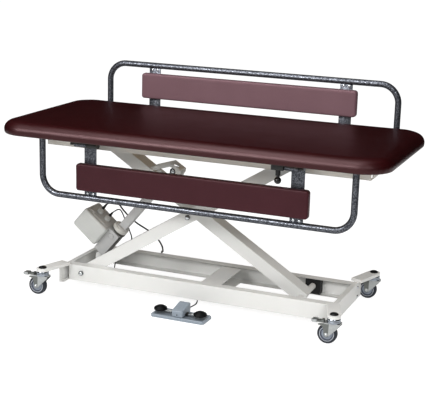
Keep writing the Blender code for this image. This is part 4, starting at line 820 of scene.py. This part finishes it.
# %% Guard tubes
bend_low = GUARD_REACH - GUARD_BEND
leg = [(-GUARD_HALF, up) for up in (0.0, 0.05, 0.10, bend_low)]
for step in range(1, 17):
    angle = math.radians(180 - 90 * step / 16)
    leg.append((-GUARD_HALF + GUARD_BEND * (1 + math.cos(angle)), bend_low + GUARD_BEND * math.sin(angle)))
hoop = leg + [(-x, up) for x, up in reversed(leg)]
plug = [(0, 0.2), (12.4, 0.2), (12.7, -0.6), (12.2, -2.0), (9.0, -3.0), (0, -3.3)]
for guard in GUARDS:
    points = [guard_place(guard, x, GUARD_OFFSET, up) for x, up in hoop]
    tube = grow_tube(guard + "_guard_tube", points, GUARD_TUBE, 32, hammer)
    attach(tube, guard + "_guard")
    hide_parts(guard + "_guard_frame")
    plugs = [(plug, guard_place(guard, side * GUARD_HALF, GUARD_OFFSET, 0), guard_way(guard, 0, 1))
             for side in (-1, 1)]
    turn_piece(guard + "_guard_plugs", plugs, [black_plastic], guard + "_guard")
print("hoop points:", len(hoop), "tube faces:", len(tube.data.polygons))


# %% Uprights
def upright_outline():
    """The strip seen from its end: curled round the pin, out along the offset, then up to the tube."""
    half = UPRIGHT_THICKNESS / 2
    eye = 0.006 + GAP + half
    bend = 0.012
    path = []
    for step in range(21):
        angle = math.radians(215 - 305 * step / 20)
        path.append(Vector((eye * math.cos(angle), eye * math.sin(angle))))
    for step in range(9):
        angle = math.radians(-90 + 90 * step / 8)
        path.append(Vector((GUARD_OFFSET - bend + bend * math.cos(angle),
                            bend - eye + bend * math.sin(angle))))
    path.append(Vector((GUARD_OFFSET, GUARD_REACH - GUARD_TUBE / 2 + MM)))
    left, right = [], []
    for here, spot in enumerate(path):
        along = (path[min(here + 1, len(path) - 1)] - path[max(here - 1, 0)]).normalized()
        across = Vector((-along.y, along.x)) * half
        left.append(spot + across)
        right.append(spot - across)
    return left + right[::-1]


SCREW_OUT, SCREW_UP = GUARD_OFFSET - UPRIGHT_THICKNESS / 2 - 0.05 * MM, 0.2120
outline = upright_outline()
last = len(outline) - 1
for guard in GUARDS:
    strips = bmesh.new()
    for middle in (-UPRIGHT_X, UPRIGHT_X):
        rows = [[strips.verts.new(guard_place(guard, x, p.x, p.y)) for p in outline]
                for x in (middle - UPRIGHT_WIDTH / 2, middle + UPRIGHT_WIDTH / 2)]
        join_loops(strips, *rows)
        for row in rows:
            for here in range(last // 2):
                strips.faces.new((row[here], row[here + 1], row[last - 1 - here], row[last - here]))
    bmesh.ops.recalc_face_normals(strips, faces=strips.faces)
    sharp = [edge for edge in strips.edges
             if len(edge.link_faces) == 2 and edge.calc_face_angle() > math.radians(50)]
    bmesh.ops.bevel(strips, geom=sharp, offset=0.8 * MM, segments=2, profile=0.5, affect="EDGES")
    finish_piece(guard + "_guard_uprights", strips, [hammer], guard + "_guard")
    screws = [(guard_place(guard, side * UPRIGHT_X + x, SCREW_OUT, SCREW_UP), guard_way(guard, -1, 0))
              for side in (-1, 1) for x in (-0.012, 0.012)]
    plant(guard + "_guard_screws", screws, pan_head, 1.1, guard + "_guard")

# %% [markdown]
# ## Cushion and guard pads
# The top is a slab of firm foam on a board, wrapped in vinyl that is pulled round the edge and stapled
# below. The edge rolls over in a wide curve, the face is slightly crowned, and the cover gathers in small
# pleats under the corners. Each pad is drawn as a pile of rounded rectangles a little smaller than the
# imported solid, then Blender's Cloth blows it up against its pinned underside. The movement is capped, so
# that the pad ends at its real size.

# %% Rings of a rounded rectangle
def rounded_ring(half_length, half_width, radius, corner_steps, long_steps, short_steps):
    """Points round a rectangle with rounded corners, the same count for every size."""
    points = []
    runs = ((1, 1, 0, long_steps), (-1, 1, 90, short_steps), (-1, -1, 180, long_steps),
            (1, -1, 270, short_steps))
    for side_x, side_y, start, steps in runs:
        middle = Vector((side_x * (half_length - radius), side_y * (half_width - radius)))
        for step in range(corner_steps + 1):
            angle = math.radians(start + 90 * step / corner_steps)
            points.append(middle + radius * Vector((math.cos(angle), math.sin(angle))))
        forward = math.radians(start + 90)
        along = Vector((-math.sin(forward), math.cos(forward)))
        run = 2 * ((half_length if start % 180 == 0 else half_width) - radius)
        last = points[-1]
        for step in range(1, steps):
            points.append(last + along * run * step / steps)
    return points


def fill_across(shape, loop, corner_steps, long_steps, short_steps):
    """Fill a ring with quads between its two long sides, and one face at each short end."""
    span = 2 * (corner_steps + 1) + long_steps - 1
    near_end = 2 * span + short_steps - 1
    far = loop[:span]
    near = loop[span + short_steps - 1:near_end][::-1]
    for here in range(span - 1):
        shape.faces.new((far[here], far[here + 1], near[here + 1], near[here]))
    shape.faces.new([far[-1]] + loop[span:span + short_steps - 1] + [near[-1]])
    shape.faces.new([near[0]] + loop[near_end:] + [far[0]])


def add_pile(shape, rings, steps):
    """Join rings into a closed pile, with both ends filled across the short side."""
    loops = [[shape.verts.new(place) for place in ring] for ring in rings]
    for lower, upper in zip(loops, loops[1:]):
        join_loops(shape, lower, upper)
    for loop in (loops[0], loops[-1]):
        fill_across(shape, loop, *steps)
    return loops


# %% Puffing a cover up with Cloth
PUFF_FRAMES, SMOOTHING_PASSES = 20, 20
CLOTH = {"quality": 5, "mass": 0.3, "tension_stiffness": 40, "compression_stiffness": 40,
         "shear_stiffness": 20, "bending_stiffness": 4, "use_pressure": True, "uniform_pressure_force": 4.0,
         "vertex_group_mass": "stapled"}


def points_of(mesh):
    """A mesh's points as rows of an array."""
    flat = np.zeros(len(mesh.vertices) * 3)
    mesh.vertices.foreach_get("co", flat)
    return flat.reshape(-1, 3)


def move_points(mesh, places):
    mesh.vertices.foreach_set("co", places.ravel())
    mesh.update()


def puff(piece, pinned_count, cap):
    """Blow a closed mesh up with Cloth, hold its first points, and cap how far a point moves."""
    pinned = list(range(pinned_count))
    piece.vertex_groups.new(name="stapled").add(pinned, 1.0, "REPLACE")
    start = points_of(piece.data)
    cloth = piece.modifiers.new("stuffing", "CLOTH")
    for setting, value in CLOTH.items():
        setattr(cloth.settings, setting, value)
    cloth.settings.effector_weights.gravity = 0
    cloth.point_cache.frame_start = 1
    cloth.point_cache.frame_end = PUFF_FRAMES
    for number in range(1, PUFF_FRAMES + 1):
        scene.frame_set(number)
    move = points_of(piece.evaluated_get(bpy.context.evaluated_depsgraph_get()).data) - start
    piece.modifiers.remove(cloth)
    piece.vertex_groups.clear()
    scene.frame_set(1)
    pairs = np.array([tuple(edge.vertices) for edge in piece.data.edges])
    for _ in range(SMOOTHING_PASSES):
        total = move.copy()
        count = np.ones(len(start))
        for first, second in ((0, 1), (1, 0)):
            np.add.at(total, pairs[:, first], move[pairs[:, second]])
            np.add.at(count, pairs[:, first], 1)
        move = total / count[:, None]
        move[pinned] = 0
    reach = np.linalg.norm(move, axis=1)
    limited = cap * np.tanh(reach / cap) / np.maximum(reach, 1e-9)
    move_points(piece.data, start + move * limited[:, None])
    print(piece.name, "puffed by up to mm:", round(float((reach * limited).max()) / MM, 2))


def pad_out(piece):
    """Let the renderer smooth a soft cover once more."""
    smooth = piece.modifiers.new("smooth", "SUBSURF")
    smooth.levels = smooth.render_levels = 1


# %% The cushion
TOP_LOW, TOP_HIGH = 0.654517, 0.7110
HALF_LENGTH, HALF_WIDTH, CORNER_RADIUS = 0.785, 0.350, 0.110
SWELL = 1.2 * MM
ROLL_WIDTH, ROLL_START, ROLL_ANGLE, CROWN, RECESS_MM = 42 * MM, 15.8 * MM, 88.6, 5 * MM, 18.3
CROWN_INSET, CROWN_RINGS = 0.333, 23
CUSHION_STEPS = (26, 112, 40)
shoulder = TOP_HIGH - TOP_LOW - CROWN
rise = shoulder - ROLL_START


def cushion_ring(inset, height):
    points = rounded_ring(HALF_LENGTH - inset, HALF_WIDTH - inset, max(CORNER_RADIUS - inset, 0.014),
                          *CUSHION_STEPS)
    return [at(point.x, point.y, TOP_LOW + height) for point in points]


under = [(10, RECESS_MM), (10, 9), (10, 0.2), (7, 0), (4.2, 0.2), (2.4, 1.6), (1.2, 4.2), (0.6, 8.0),
         (0.3, 12.0)]
rings = [cushion_ring(inset * MM, height * MM) for inset, height in under]
for step in range(17):
    angle = math.radians(ROLL_ANGLE * step / 16)
    rings.append(cushion_ring(ROLL_WIDTH * (1 - math.cos(angle)), ROLL_START + rise * math.sin(angle)))
for step in range(1, CROWN_RINGS + 1):
    share = step / CROWN_RINGS
    rings.append(cushion_ring(ROLL_WIDTH + (CROWN_INSET - ROLL_WIDTH) * share,
                              shoulder + (CROWN - SWELL) * math.sin(share * math.pi / 2)))
shape = bmesh.new()
pinned_count = 4 * len(add_pile(shape, rings, CUSHION_STEPS)[0])
cushion = finish_piece("vinyl_cushion", shape, [vinyl], "top", ["cushion"], 80)
puff(cushion, pinned_count, SWELL)
print("cushion points:", len(cushion.data.vertices))

# %% Pleats under the corners
PLEAT_DEPTH, PLEATS_PER_TURN = 1.7 * MM, 26
co = points_of(cushion.data)
from_corner_x = np.abs(co[:, 0]) - (HALF_LENGTH - CORNER_RADIUS)
from_corner_y = np.abs(co[:, 1] - MIDDLE_Y) - (HALF_WIDTH - CORNER_RADIUS)
angle = np.arctan2(from_corner_y, from_corner_x)
height = co[:, 2] - TOP_LOW
at_corner = (from_corner_x > 0) & (from_corner_y > 0) & (height < 26 * MM) & (height > -1 * MM)
at_corner &= np.hypot(from_corner_x, from_corner_y) > CORNER_RADIUS - 9 * MM
fade = np.clip(1 - np.abs(height - 4 * MM) / (22 * MM), 0, 1) ** 1.5 * np.sin(2 * angle) ** 2
depth = np.where(at_corner, PLEAT_DEPTH * fade * (0.5 + 0.5 * np.cos(angle * PLEATS_PER_TURN)), 0)
co[:, 0] -= depth * np.cos(angle) * np.sign(co[:, 0])
co[:, 1] -= depth * np.sin(angle) * np.sign(co[:, 1] - MIDDLE_Y)
move_points(cushion.data, co)
pad_out(cushion)
print("pleated points:", int(at_corner.sum()))

# %% The guard pads
PAD_LENGTH, PAD_HEIGHT, PAD_UP = 0.958, 0.110, 0.144
PAD_SWELL = 0.7 * MM
PAD_STEPS = (10, 90, 10)
pad_face = GUARD_OFFSET - UPRIGHT_THICKNESS / 2 - GAP
edge = [(6.0, 0.0), (3.0, 0.1), (1.2, 0.8), (0.3, 2.6), (0.0, 6.0), (0.0, 11.0), (0.0, 16.0), (0.1, 20.0),
        (0.6, 23.2), (1.9, 25.6), (4.0, 27.0), (7.0, 27.5)]
edge += [(inset, 27.6) for inset in (12.0, 19.0, 28.0, 36.0, 43.0)]
# The raised back pad's cover is painted lighter: a painted sheen.
for guard, cover in (("front", pad_vinyl), ("back", raised_pad_painted_sheen)):
    rings = []
    for inset, depth in edge:
        points = rounded_ring(PAD_LENGTH / 2 - inset * MM, PAD_HEIGHT / 2 - inset * MM,
                              max(13 - inset, 3) * MM, *PAD_STEPS)
        rings.append([guard_place(guard, p.x, pad_face - depth * MM, PAD_UP + p.y) for p in points])
    shape = bmesh.new()
    back_loop = add_pile(shape, rings, PAD_STEPS)[0]
    on_back = set(back_loop)
    for face in shape.faces:
        face.material_index = 1 if all(vertex in on_back for vertex in face.verts) else 0
    pinned_count = 2 * len(back_loop)
    pad = finish_piece(guard + "_guard_cover", shape, [cover, felt], guard + "_guard",
                       [guard + "_guard_pad"], 80)
    puff(pad, pinned_count, PAD_SWELL)
    pad_out(pad)
    print(pad.name, "points:", len(pad.data.vertices))

# %% [markdown]
# ## Foot pedals
# Two round rubber domes sit on flat plated links beside the switch's cover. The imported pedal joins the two;
# here the dome is turned with shallow rings for grip, and the link is a strip of its own on a black root.

# %% Switch plate
SWITCH_X, SWITCH_Y, SWITCH_FLOOR = 0.001, -0.276, 0.0123
plate = bmesh.new()
loops = []
for inset, height in ((0, 0.3), (0, 9.6), (0.8, 11.2), (2.0, 11.9), (7.0, 11.9), (8.2, 10.6)):
    half_long, half_deep = (111 - inset) * MM, (44 - inset) * MM
    cut = max(8 - 0.6 * inset, 2) * MM
    ring = []
    for side_x, side_y in ((1, 1), (-1, 1), (-1, -1), (1, -1)):
        corner = [(side_x * half_long, side_y * (half_deep - cut)),
                  (side_x * (half_long - cut), side_y * half_deep)]
        ring += corner if side_x * side_y > 0 else corner[::-1]
    loops.append([plate.verts.new(at(SWITCH_X + x, SWITCH_Y + y, height * MM)) for x, y in ring])
for lower, upper in zip(loops, loops[1:]):
    join_loops(plate, lower, upper)
plate.faces.new(loops[0])
plate.faces.new(loops[-1]).material_index = 1
finish_piece("dressed_switch_plate", plate, [switch_paint, switch_mat], "base", ["foot_switch_plate"], 25)
nose = ([(0, 0), (2.6, 0), (2.6, 0.5), (0, 0.6)], at(SWITCH_X, SWITCH_Y - 0.04002, 0.022), (0, -1, 0), 20)
turn_piece("switch_cover_screw", [nose], [black_plastic], "base")

# %% Pedals
dome = [(0, 0.6), (24.6, 0.6), (26.0, 1.8), (26.0, 6.0), (25.4, 7.4)]
for radius in (23.2, 19.8, 16.2, 12.4, 8.4, 4.6):
    rise = 8.2 + 10.6 * (1 - (radius / 26) ** 2)
    dome += [(radius + 1.0, rise - 0.6), (radius + 0.3, rise + 0.1), (radius - 0.9, rise + 0.4),
             (radius - 1.5, rise - 0.2)]
dome += [(1.6, 18.6), (0, 18.8)]
LINK_LENGTH = 0.060
for side_name, side in (("left", -1), ("right", 1)):
    body = side_name + "_pedal"
    hinge = at(SWITCH_X + side * 0.0233, SWITCH_Y - 0.008, SWITCH_FLOOR + 0.010)
    tip = hinge + Vector((side * LINK_LENGTH, 0, 0))
    turn_piece("pedal_dome_" + side_name, [(dome, tip, UP, 48)], [pedal_rubber], body,
               ["foot_pedal_" + side_name])
    link = bmesh.new()
    add_box(link, (hinge + tip) / 2, (LINK_LENGTH, 14 * MM, 3 * MM), round_mm=0.5)
    finish_piece("pedal_link_" + side_name, link, [bright_zinc], body)
    root = bmesh.new()
    add_box(root, hinge + Vector((side * 6.0, 0, -1.0)) * MM, (9 * MM, 19 * MM, 9 * MM), round_mm=1.0)
    finish_piece("pedal_root_" + side_name, root, [black_plastic], body)
print("pedals: 2")

# %% [markdown]
# ## The actuator's housings
# The lift is driven by a linear actuator: a motor box with a removable lid on a die-cast gear housing, a
# moulded collar and a square aluminium extrusion that the rod slides in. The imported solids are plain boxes
# and rounds, so the motor box is drawn again with soft moulded edges, and the collar and the extrusion with
# their real sections.

# %% Motor box and lid
to_actuator = Matrix((actuator_along, Vector((0, 1, 0)), actuator_across)).transposed().to_4x4()


def add_block(shape, low, high, round_mm, steps=2):
    """A box between two corners given along, beside and across the actuator, with rounded edges."""
    middle = [(a + b) / 2 for a, b in zip(low, high)]
    add_box(shape, on_actuator(*middle), [b - a for a, b in zip(low, high)], to_actuator, round_mm, steps)


def block_piece(name, blocks, finish):
    """A piece on the actuator made of blocks."""
    shape = bmesh.new()
    for block in blocks:
        add_block(shape, *block)
    finish_piece(name, shape, [finish], "actuator")


motor = bmesh.new()
add_block(motor, (0.038, -0.062, 0.0363), (0.134, 0.062, 0.166), 11, 6)
motor.normal_update()
for face in motor.faces:
    face.material_index = 1 if face.normal.dot(actuator_along) > 0.80 else 0
finish_piece("dressed_motor_box", motor, [motor_plastic, lid_plastic], "actuator",
             ["actuator_motor_housing"], 40)
block_piece("motor_lid", [
    ((0.1335, -0.044, 0.050), (0.1358, 0.046, 0.154), 1.0),
    ((0.1350, -0.040, 0.128), (0.1400, -0.018, 0.150), 1.5),
    ((0.1350, -0.040, 0.086), (0.1372, -0.026, 0.092), 0.6),
    ((0.1350, -0.040, 0.066), (0.1372, -0.026, 0.072), 0.6)], lid_plastic)


# %% Connectors
def add_knurled(shape, foot, valley, crest, height, count, tone=0):
    """A short drum along the actuator with ribs round it; its sizes are in millimetres."""
    side = actuator_along.orthogonal().normalized()
    other = actuator_along.cross(side)
    loops = []
    for rise in (0, height):
        loop = []
        for step in range(count * 4):
            angle = math.tau * step / (count * 4)
            spoke = side * math.cos(angle) + other * math.sin(angle)
            radius = crest if step % 4 in (0, 1) else valley
            loop.append(shape.verts.new(foot + (actuator_along * rise + spoke * radius) * MM))
        loops.append(loop)
        shape.faces.new(loop).material_index = tone
    join_loops(shape, *loops, tone)


nozzle = [(0, 0), (9.5, 0), (9.0, 2.0), (6.4, 4.4), (0, 4.4)]
for name, across in (("mains_gland", MAINS_ACROSS), ("foot_switch_gland", SWITCH_ACROSS)):
    gland = bmesh.new()
    add_knurled(gland, on_actuator(0.1345, 0, across), 12.2, 13.2, 12.0, 16)
    add_knurled(gland, on_actuator(0.1466, 0, across), 10.8, 12.4, 7.0, 10, 1)
    add_turned(gland, nozzle, on_actuator(0.1537, 0, across), actuator_along, 24, [1] * 4)
    finish_piece("dressed_" + name, gland, [motor_plastic, lid_plastic], "actuator", [name], 25)

# %% Gear housing trim, collar and extrusion
TUBE_SHIFT, DISC_SHIFT, TUBE_HALF = 5 * MM, 9 * MM, 17.5 * MM
trim = bmesh.new()
add_turned(trim, [(0, 0), (13.5, 0), (13.5, 1.8), (12.4, 2.6), (9.0, 2.6), (8.2, 1.4), (0, 1.4)],
           on_actuator(0.112, -0.0330, 0.012), (0, -1, 0), 40)
add_block(trim, (0.026, -0.0342, -0.0166), (0.133, -0.0312, -0.0132), 0.8)
finish_piece("gear_housing_trim", trim, [gear_plastic], "actuator")
block_piece("gear_housing_belly", [((0.034, -0.0305, -0.0172), (0.132, 0.0305, -0.0158), 0.4)], dark_plastic)
neck = ([(0, 0), (27, 0), (27, 12), (0, 12)], on_actuator(0.1366, 0, TUBE_SHIFT / 2), actuator_along, 48,
        [1] * 3)
disc = ([(0, 0), (32.0, 0), (33.0, 1.2), (33.0, 15), (31.8, 16.6), (0, 16.6)],
        on_actuator(0.1482, 0, DISC_SHIFT), actuator_along, 64)
lip = ([(0, 0), (28.6, 0), (27.6, 5), (23, 8.5), (0, 8.5)], on_actuator(0.1646, 0, TUBE_SHIFT),
       actuator_along, 48, [2] * 4)
turn_piece("actuator_collar", [neck, disc, lip], [beige_plastic, dark_plastic, lid_plastic], "actuator",
           ["actuator_outer_tube"], 30)
block_piece("actuator_extrusion", [((0.170, -TUBE_HALF, TUBE_SHIFT - TUBE_HALF),
                                    (0.360, TUBE_HALF, TUBE_SHIFT + TUBE_HALF), 2.2, 3)], tube_anodised)
print("actuator pieces ready")

# %% [markdown]
# ## The lug and the rod's eye
# The rod pushes on two plates that stand on the inner arm. Each is cut from 4 mm sheet as an arch, open
# towards the rod, so that daylight shows under it. The eye's face has a dark washer and a bright pin end.

# %% Lug plates
ARM_ANGLE = math.radians(32.1)
arm_way = Vector((math.cos(ARM_ANGLE), 0, -math.sin(ARM_ANGLE)))
arm_up = Vector((math.sin(ARM_ANGLE), 0, math.cos(ARM_ANGLE)))
LUG_FOOT = at(-0.0496, 0, 0.3538) - 0.1762 * arm_way
PIN_UP, PIN_SEAT = 71.4, 14.6
arch = [(33, 25.3), (33, 88.5), (27, 98.5), (-26.5, 98.5), (-80, 35.3), (-85, 25.3), (-66.2, 25.3),
        (-18.6, 81.5)]
for angle in (math.radians(degrees) for degrees in (112, 86, 60, 34, 8, -18, -40)):
    arch.append((PIN_SEAT * math.cos(angle), PIN_UP + PIN_SEAT * math.sin(angle)))
arch.append((12, 25.3))
lug = bmesh.new()
for side in (-1, 1):
    loops = []
    for y in (23, 27):
        beside = Vector((0, side * y, 0))
        loops.append([lug.verts.new(LUG_FOOT + (arm_way * along + arm_up * up + beside) * MM)
                      for along, up in arch])
        lug.faces.new(loops[-1])
    join_loops(lug, *loops)
to_arm = Matrix((arm_way, Vector((0, 1, 0)), arm_up)).transposed().to_4x4()
add_box(lug, LUG_FOOT + (17 * arm_way + 96.6 * arm_up) * MM, (18 * MM, 50 * MM, 3.6 * MM), to_arm)
finish_piece("lug_plates", lug, [cream], "inner_arm", ["actuator_lug"], 25)
washer = [(0, 0), (13.0, 0), (13.0, 0.8), (9.2, 1.0), (8.8, 0.6), (0, 0.6)]
pin_end = [(0, 0), (6.0, 0), (6.0, 1.4), (5.0, 2.0), (0, 2.0)]
pin_place = LUG_FOOT + PIN_UP * MM * arm_up
faces = []
for side in (-1, 1):
    faces.append((washer, pin_place + Vector((0, side * 20.02 * MM, 0)), (0, side, 0), 40, [0, 0, 0, 0, 1]))
    faces.append((pin_end, pin_place + Vector((0, side * 20.6 * MM, 0)), (0, side, 0), 32, [1] * 4))
turn_piece("rod_eye_faces", faces, [black_enamel, bright_zinc], "actuator_rod")
print("lug plates: 2")

# %% [markdown]
# ## Latch plungers
# Each guard is held by a sprung pin in its right-hand block. Under the block hangs a ribbed sleeve that ends
# in a polished black ball to pull.

# %% Latch plungers
BALL_RADIUS, BALL_HIGH = 13.2, 587.6
plunger = [(0, 634.5), (5.4, 634.5), (5.4, 626.8), (9.4, 626.8)]
for rib in range(4):
    top = 626.0 - 5.2 * rib
    plunger += [(9.6, top), (9.6, top - 3.0), (8.4, top - 3.6), (8.4, top - 4.8)]
plunger += [(6.2, 604.0), (6.0, 600.5)]
for angle in (math.pi * step / 16 for step in range(3, 16)):
    plunger.append((BALL_RADIUS * math.sin(angle), BALL_HIGH + BALL_RADIUS * math.cos(angle)))
plunger.append((0, BALL_HIGH - BALL_RADIUS))
for guard, side in (("front", -1), ("back", 1)):
    turn_piece(guard + "_latch_plunger", [(plunger, at(0.3755, side * GUARD_PIVOT_Y, 0), UP)], [black_gloss],
               guard + "_latch", [guard + "_guard_latch_plunger"])
print("latch plungers: 2")

# %% [markdown]
# ## Strain reliefs and the coil's tie
# Where a cord leaves a housing, a tapered ribbed sleeve keeps it from kinking. They are turned like the
# wheels, with a rib every few millimetres. The coil is held by two straps that go round its turns.

# %% Strain reliefs
def add_sleeve(name, mouth, way, diameter, wide, length, ribs, body):
    """A tapered sleeve with rings round it, open for the cord; wide and length are in millimetres."""
    bore = diameter / 2 / MM + 0.05
    profile = [(bore, 0), (wide, 0)]
    for rib in range(ribs):
        low = length * (rib + 0.25) / ribs
        outer = wide + (bore + 0.9 - wide) * (rib + 0.5) / ribs
        profile += [(outer, low), (outer, low + length * 0.40 / ribs),
                    (outer - 0.7, low + length * 0.46 / ribs), (outer - 0.7, low + length * 0.72 / ribs)]
    profile += [(bore + 0.5, length), (bore, length), (bore, 0)]
    turn_piece(name, [(profile, mouth, way, 24)], [black_plastic], body, joined=True)


add_sleeve("mains_relief", mains_mouth, actuator_along, MAINS_DIAMETER, 6.4, 24, 6, "actuator")
add_sleeve("switch_relief", switch_mouth, actuator_along, CORD_DIAMETER, 6.4, 20, 6, "actuator")
add_sleeve("switch_cover_relief", switch_points[0], (0, 1, 0), CORD_DIAMETER, 5.6, 14, 4, "base")
add_sleeve("plug_relief", mains_points[-1], -last_way, MAINS_DIAMETER, 4.9, 30, 7, "base")

# %% Coil tie
STRAP_HALF = 6 * MM
inside = [(23.2, 0.25), (54.6, 0.25), (55.2, 1.5), (55.2, 13.4), (53.6, 15.2), (24.2, 15.2), (22.6, 13.4),
          (22.6, 1.5)]
outside = [(23.4, 0.05), (54.4, 0.05), (56.2, 1.0), (56.2, 13.9), (54.2, 16.2), (23.6, 16.2), (21.6, 13.9),
           (21.6, 1.0)]
strap = bmesh.new()
for angle in (math.radians(70), math.radians(250)):
    out = Vector((math.cos(angle), math.sin(angle), 0))
    side = Vector((-out.y, out.x, 0))
    near_in, far_in, near_out, far_out = (
        [strap.verts.new(COIL_MIDDLE + out * r * MM + side * across + Vector((0, 0, z * MM)))
         for r, z in section]
        for section in (inside, outside) for across in (-STRAP_HALF, STRAP_HALF))
    for first, second in ((near_in, far_in), (far_in, far_out), (far_out, near_out), (near_out, near_in)):
        join_loops(strap, first, second)
finish_piece("coil_straps", strap, [felt], "base")
print("straps: 2")

# %% [markdown]
# ## Floor, backdrop and light
# The picture is cut out on white, so floor and world show white to the camera and in reflections, while the
# light that falls on the table stays at a plain level. A softbox at the front left draws the long highlight
# on the cushion's rolled edge, one at the front right lights the arms, and a weaker one hangs above the
# table. Two more are there for shine alone: they widen the highlight on the cushion's roll without lighting
# anything. Dark flags round the table, seen only by reflections, keep the top from mirroring the white and
# give the tubes their dark edges, as in the picture.

# %% Floor and world
WHITE = (1, 1, 1, 1)
AMBIENT = 0.48
FLOOR_HALF = 30


def show_white(tree, lit, shown, output):
    """One shader for what the camera, a reflection or glass sees, another for light on the table."""
    path = add_node(tree, "ShaderNodeLightPath").outputs
    seen = path["Is Camera Ray"]
    for ray in ("Is Glossy Ray", "Is Transmission Ray"):
        seen = add_node(tree, "ShaderNodeMath", {0: seen, 1: path[ray]}, operation="MAXIMUM").outputs["Value"]
    either = add_node(tree, "ShaderNodeMixShader", {"Fac": seen, 1: lit, 2: shown})
    add_node(tree, output, {"Surface": either.outputs["Shader"]})


def add_stage(name, points, faces, finish):
    """A sheet of the studio, which is no part of the table."""
    mesh = bpy.data.meshes.new(name)
    mesh.from_pydata(points, [], faces)
    mesh.materials.append(finish)
    return place_object(name, mesh)


paper = bpy.data.materials.new("white_studio_floor")
paper.use_nodes = True
tree = paper.node_tree
tree.nodes.clear()
lit = add_node(tree, "ShaderNodeBsdfDiffuse", {"Color": hex_colour("#e6e6e4")})
shown = add_node(tree, "ShaderNodeBsdfDiffuse", {"Color": hex_colour("#a6a6a6")})
glow = add_node(tree, "ShaderNodeEmission", {"Color": WHITE, "Strength": 0.86})
white = add_node(tree, "ShaderNodeAddShader", {0: shown.outputs["BSDF"], 1: glow.outputs["Emission"]})
show_white(tree, lit.outputs["BSDF"], white.outputs["Shader"], "ShaderNodeOutputMaterial")
floor_corners = [(x * FLOOR_HALF, y * FLOOR_HALF, 0) for x, y in ((-1, -1), (1, -1), (1, 1), (-1, 1))]
floor = add_stage("studio_floor", floor_corners, [(0, 1, 2, 3)], paper)

scene.world = bpy.data.worlds.new("white_studio")
scene.world.use_nodes = True
tree = scene.world.node_tree
tree.nodes.clear()
soft, plain = (add_node(tree, "ShaderNodeBackground", {"Color": WHITE, "Strength": strength})
               for strength in (AMBIENT, 1.0))
show_white(tree, soft.outputs["Background"], plain.outputs["Background"], "ShaderNodeOutputWorld")
print("floor and world ready")


# %% Softboxes and flags
def softbox(name, place, target, width, height, power, shine_only=False):
    """A flat lamp; one for shine alone shows in reflections and lights nothing."""
    lamp = bpy.data.lights.new(name, "AREA")
    lamp.shape = "RECTANGLE"
    lamp.size = width
    lamp.size_y = height
    lamp.energy = power
    item = place_object(name, lamp)
    item.location = place
    item.rotation_euler = (Vector(target) - Vector(place)).to_track_quat("-Z", "Y").to_euler()
    item.visible_diffuse = not shine_only


softbox("overhead_softbox", (-0.4, -1.1, 3.0), (0, 0, 0.65), 2.4, 1.4, 40)
softbox("front_left_softbox", (-2.1, -4.9, 3.0), (0, 0, 0.6), 2.4, 1.4, 92)
softbox("front_right_softbox", (2.6, -3.4, 2.6), (0.1, 0, 0.4), 1.6, 1.4, 72)
softbox("roll_strip", (-2.0, -4.7, 2.9), (0, -0.36, 0.68), 2.8, 0.8, 300, True)
softbox("roll_ceiling", (-0.9, -1.9, 3.2), (-0.9, -1.9, 0), 3.2, 3.0, 50, True)
black_cloth = open_finish("black_flag_cloth", Base_Color=(0.01, 0.01, 0.01, 1), Specular_IOR_Level=0)[0]
spots = [(x, y, z) for z in (0, 8) for x, y in ((-2.6, -3.0), (-2.6, 2.5), (2.6, 2.5), (2.6, -3.0))]
spots += [(-9, -7, 1.0), (9, -7, 1.0), (9, -7, 9), (-9, -7, 9)]
sheets = [(0, 1, 5, 4), (1, 2, 6, 5), (2, 3, 7, 6), (8, 9, 10, 11)]
flag = add_stage("dark_flags", spots, sheets, black_cloth)
flag.visible_camera = False
flag.visible_diffuse = False
flag.visible_shadow = False
print("lamps:", len(bpy.data.lights))

# %% [markdown]
# ## The end
# The fastener heads that the planting tree copied are no part of the table, so they are removed. The
# dressed table has to stay in the imported table's box, apart from a little that soft cloth may stand
# proud.

# %% Finish
for head in (button_head, pan_head, dome_head):
    bpy.data.objects.remove(head)
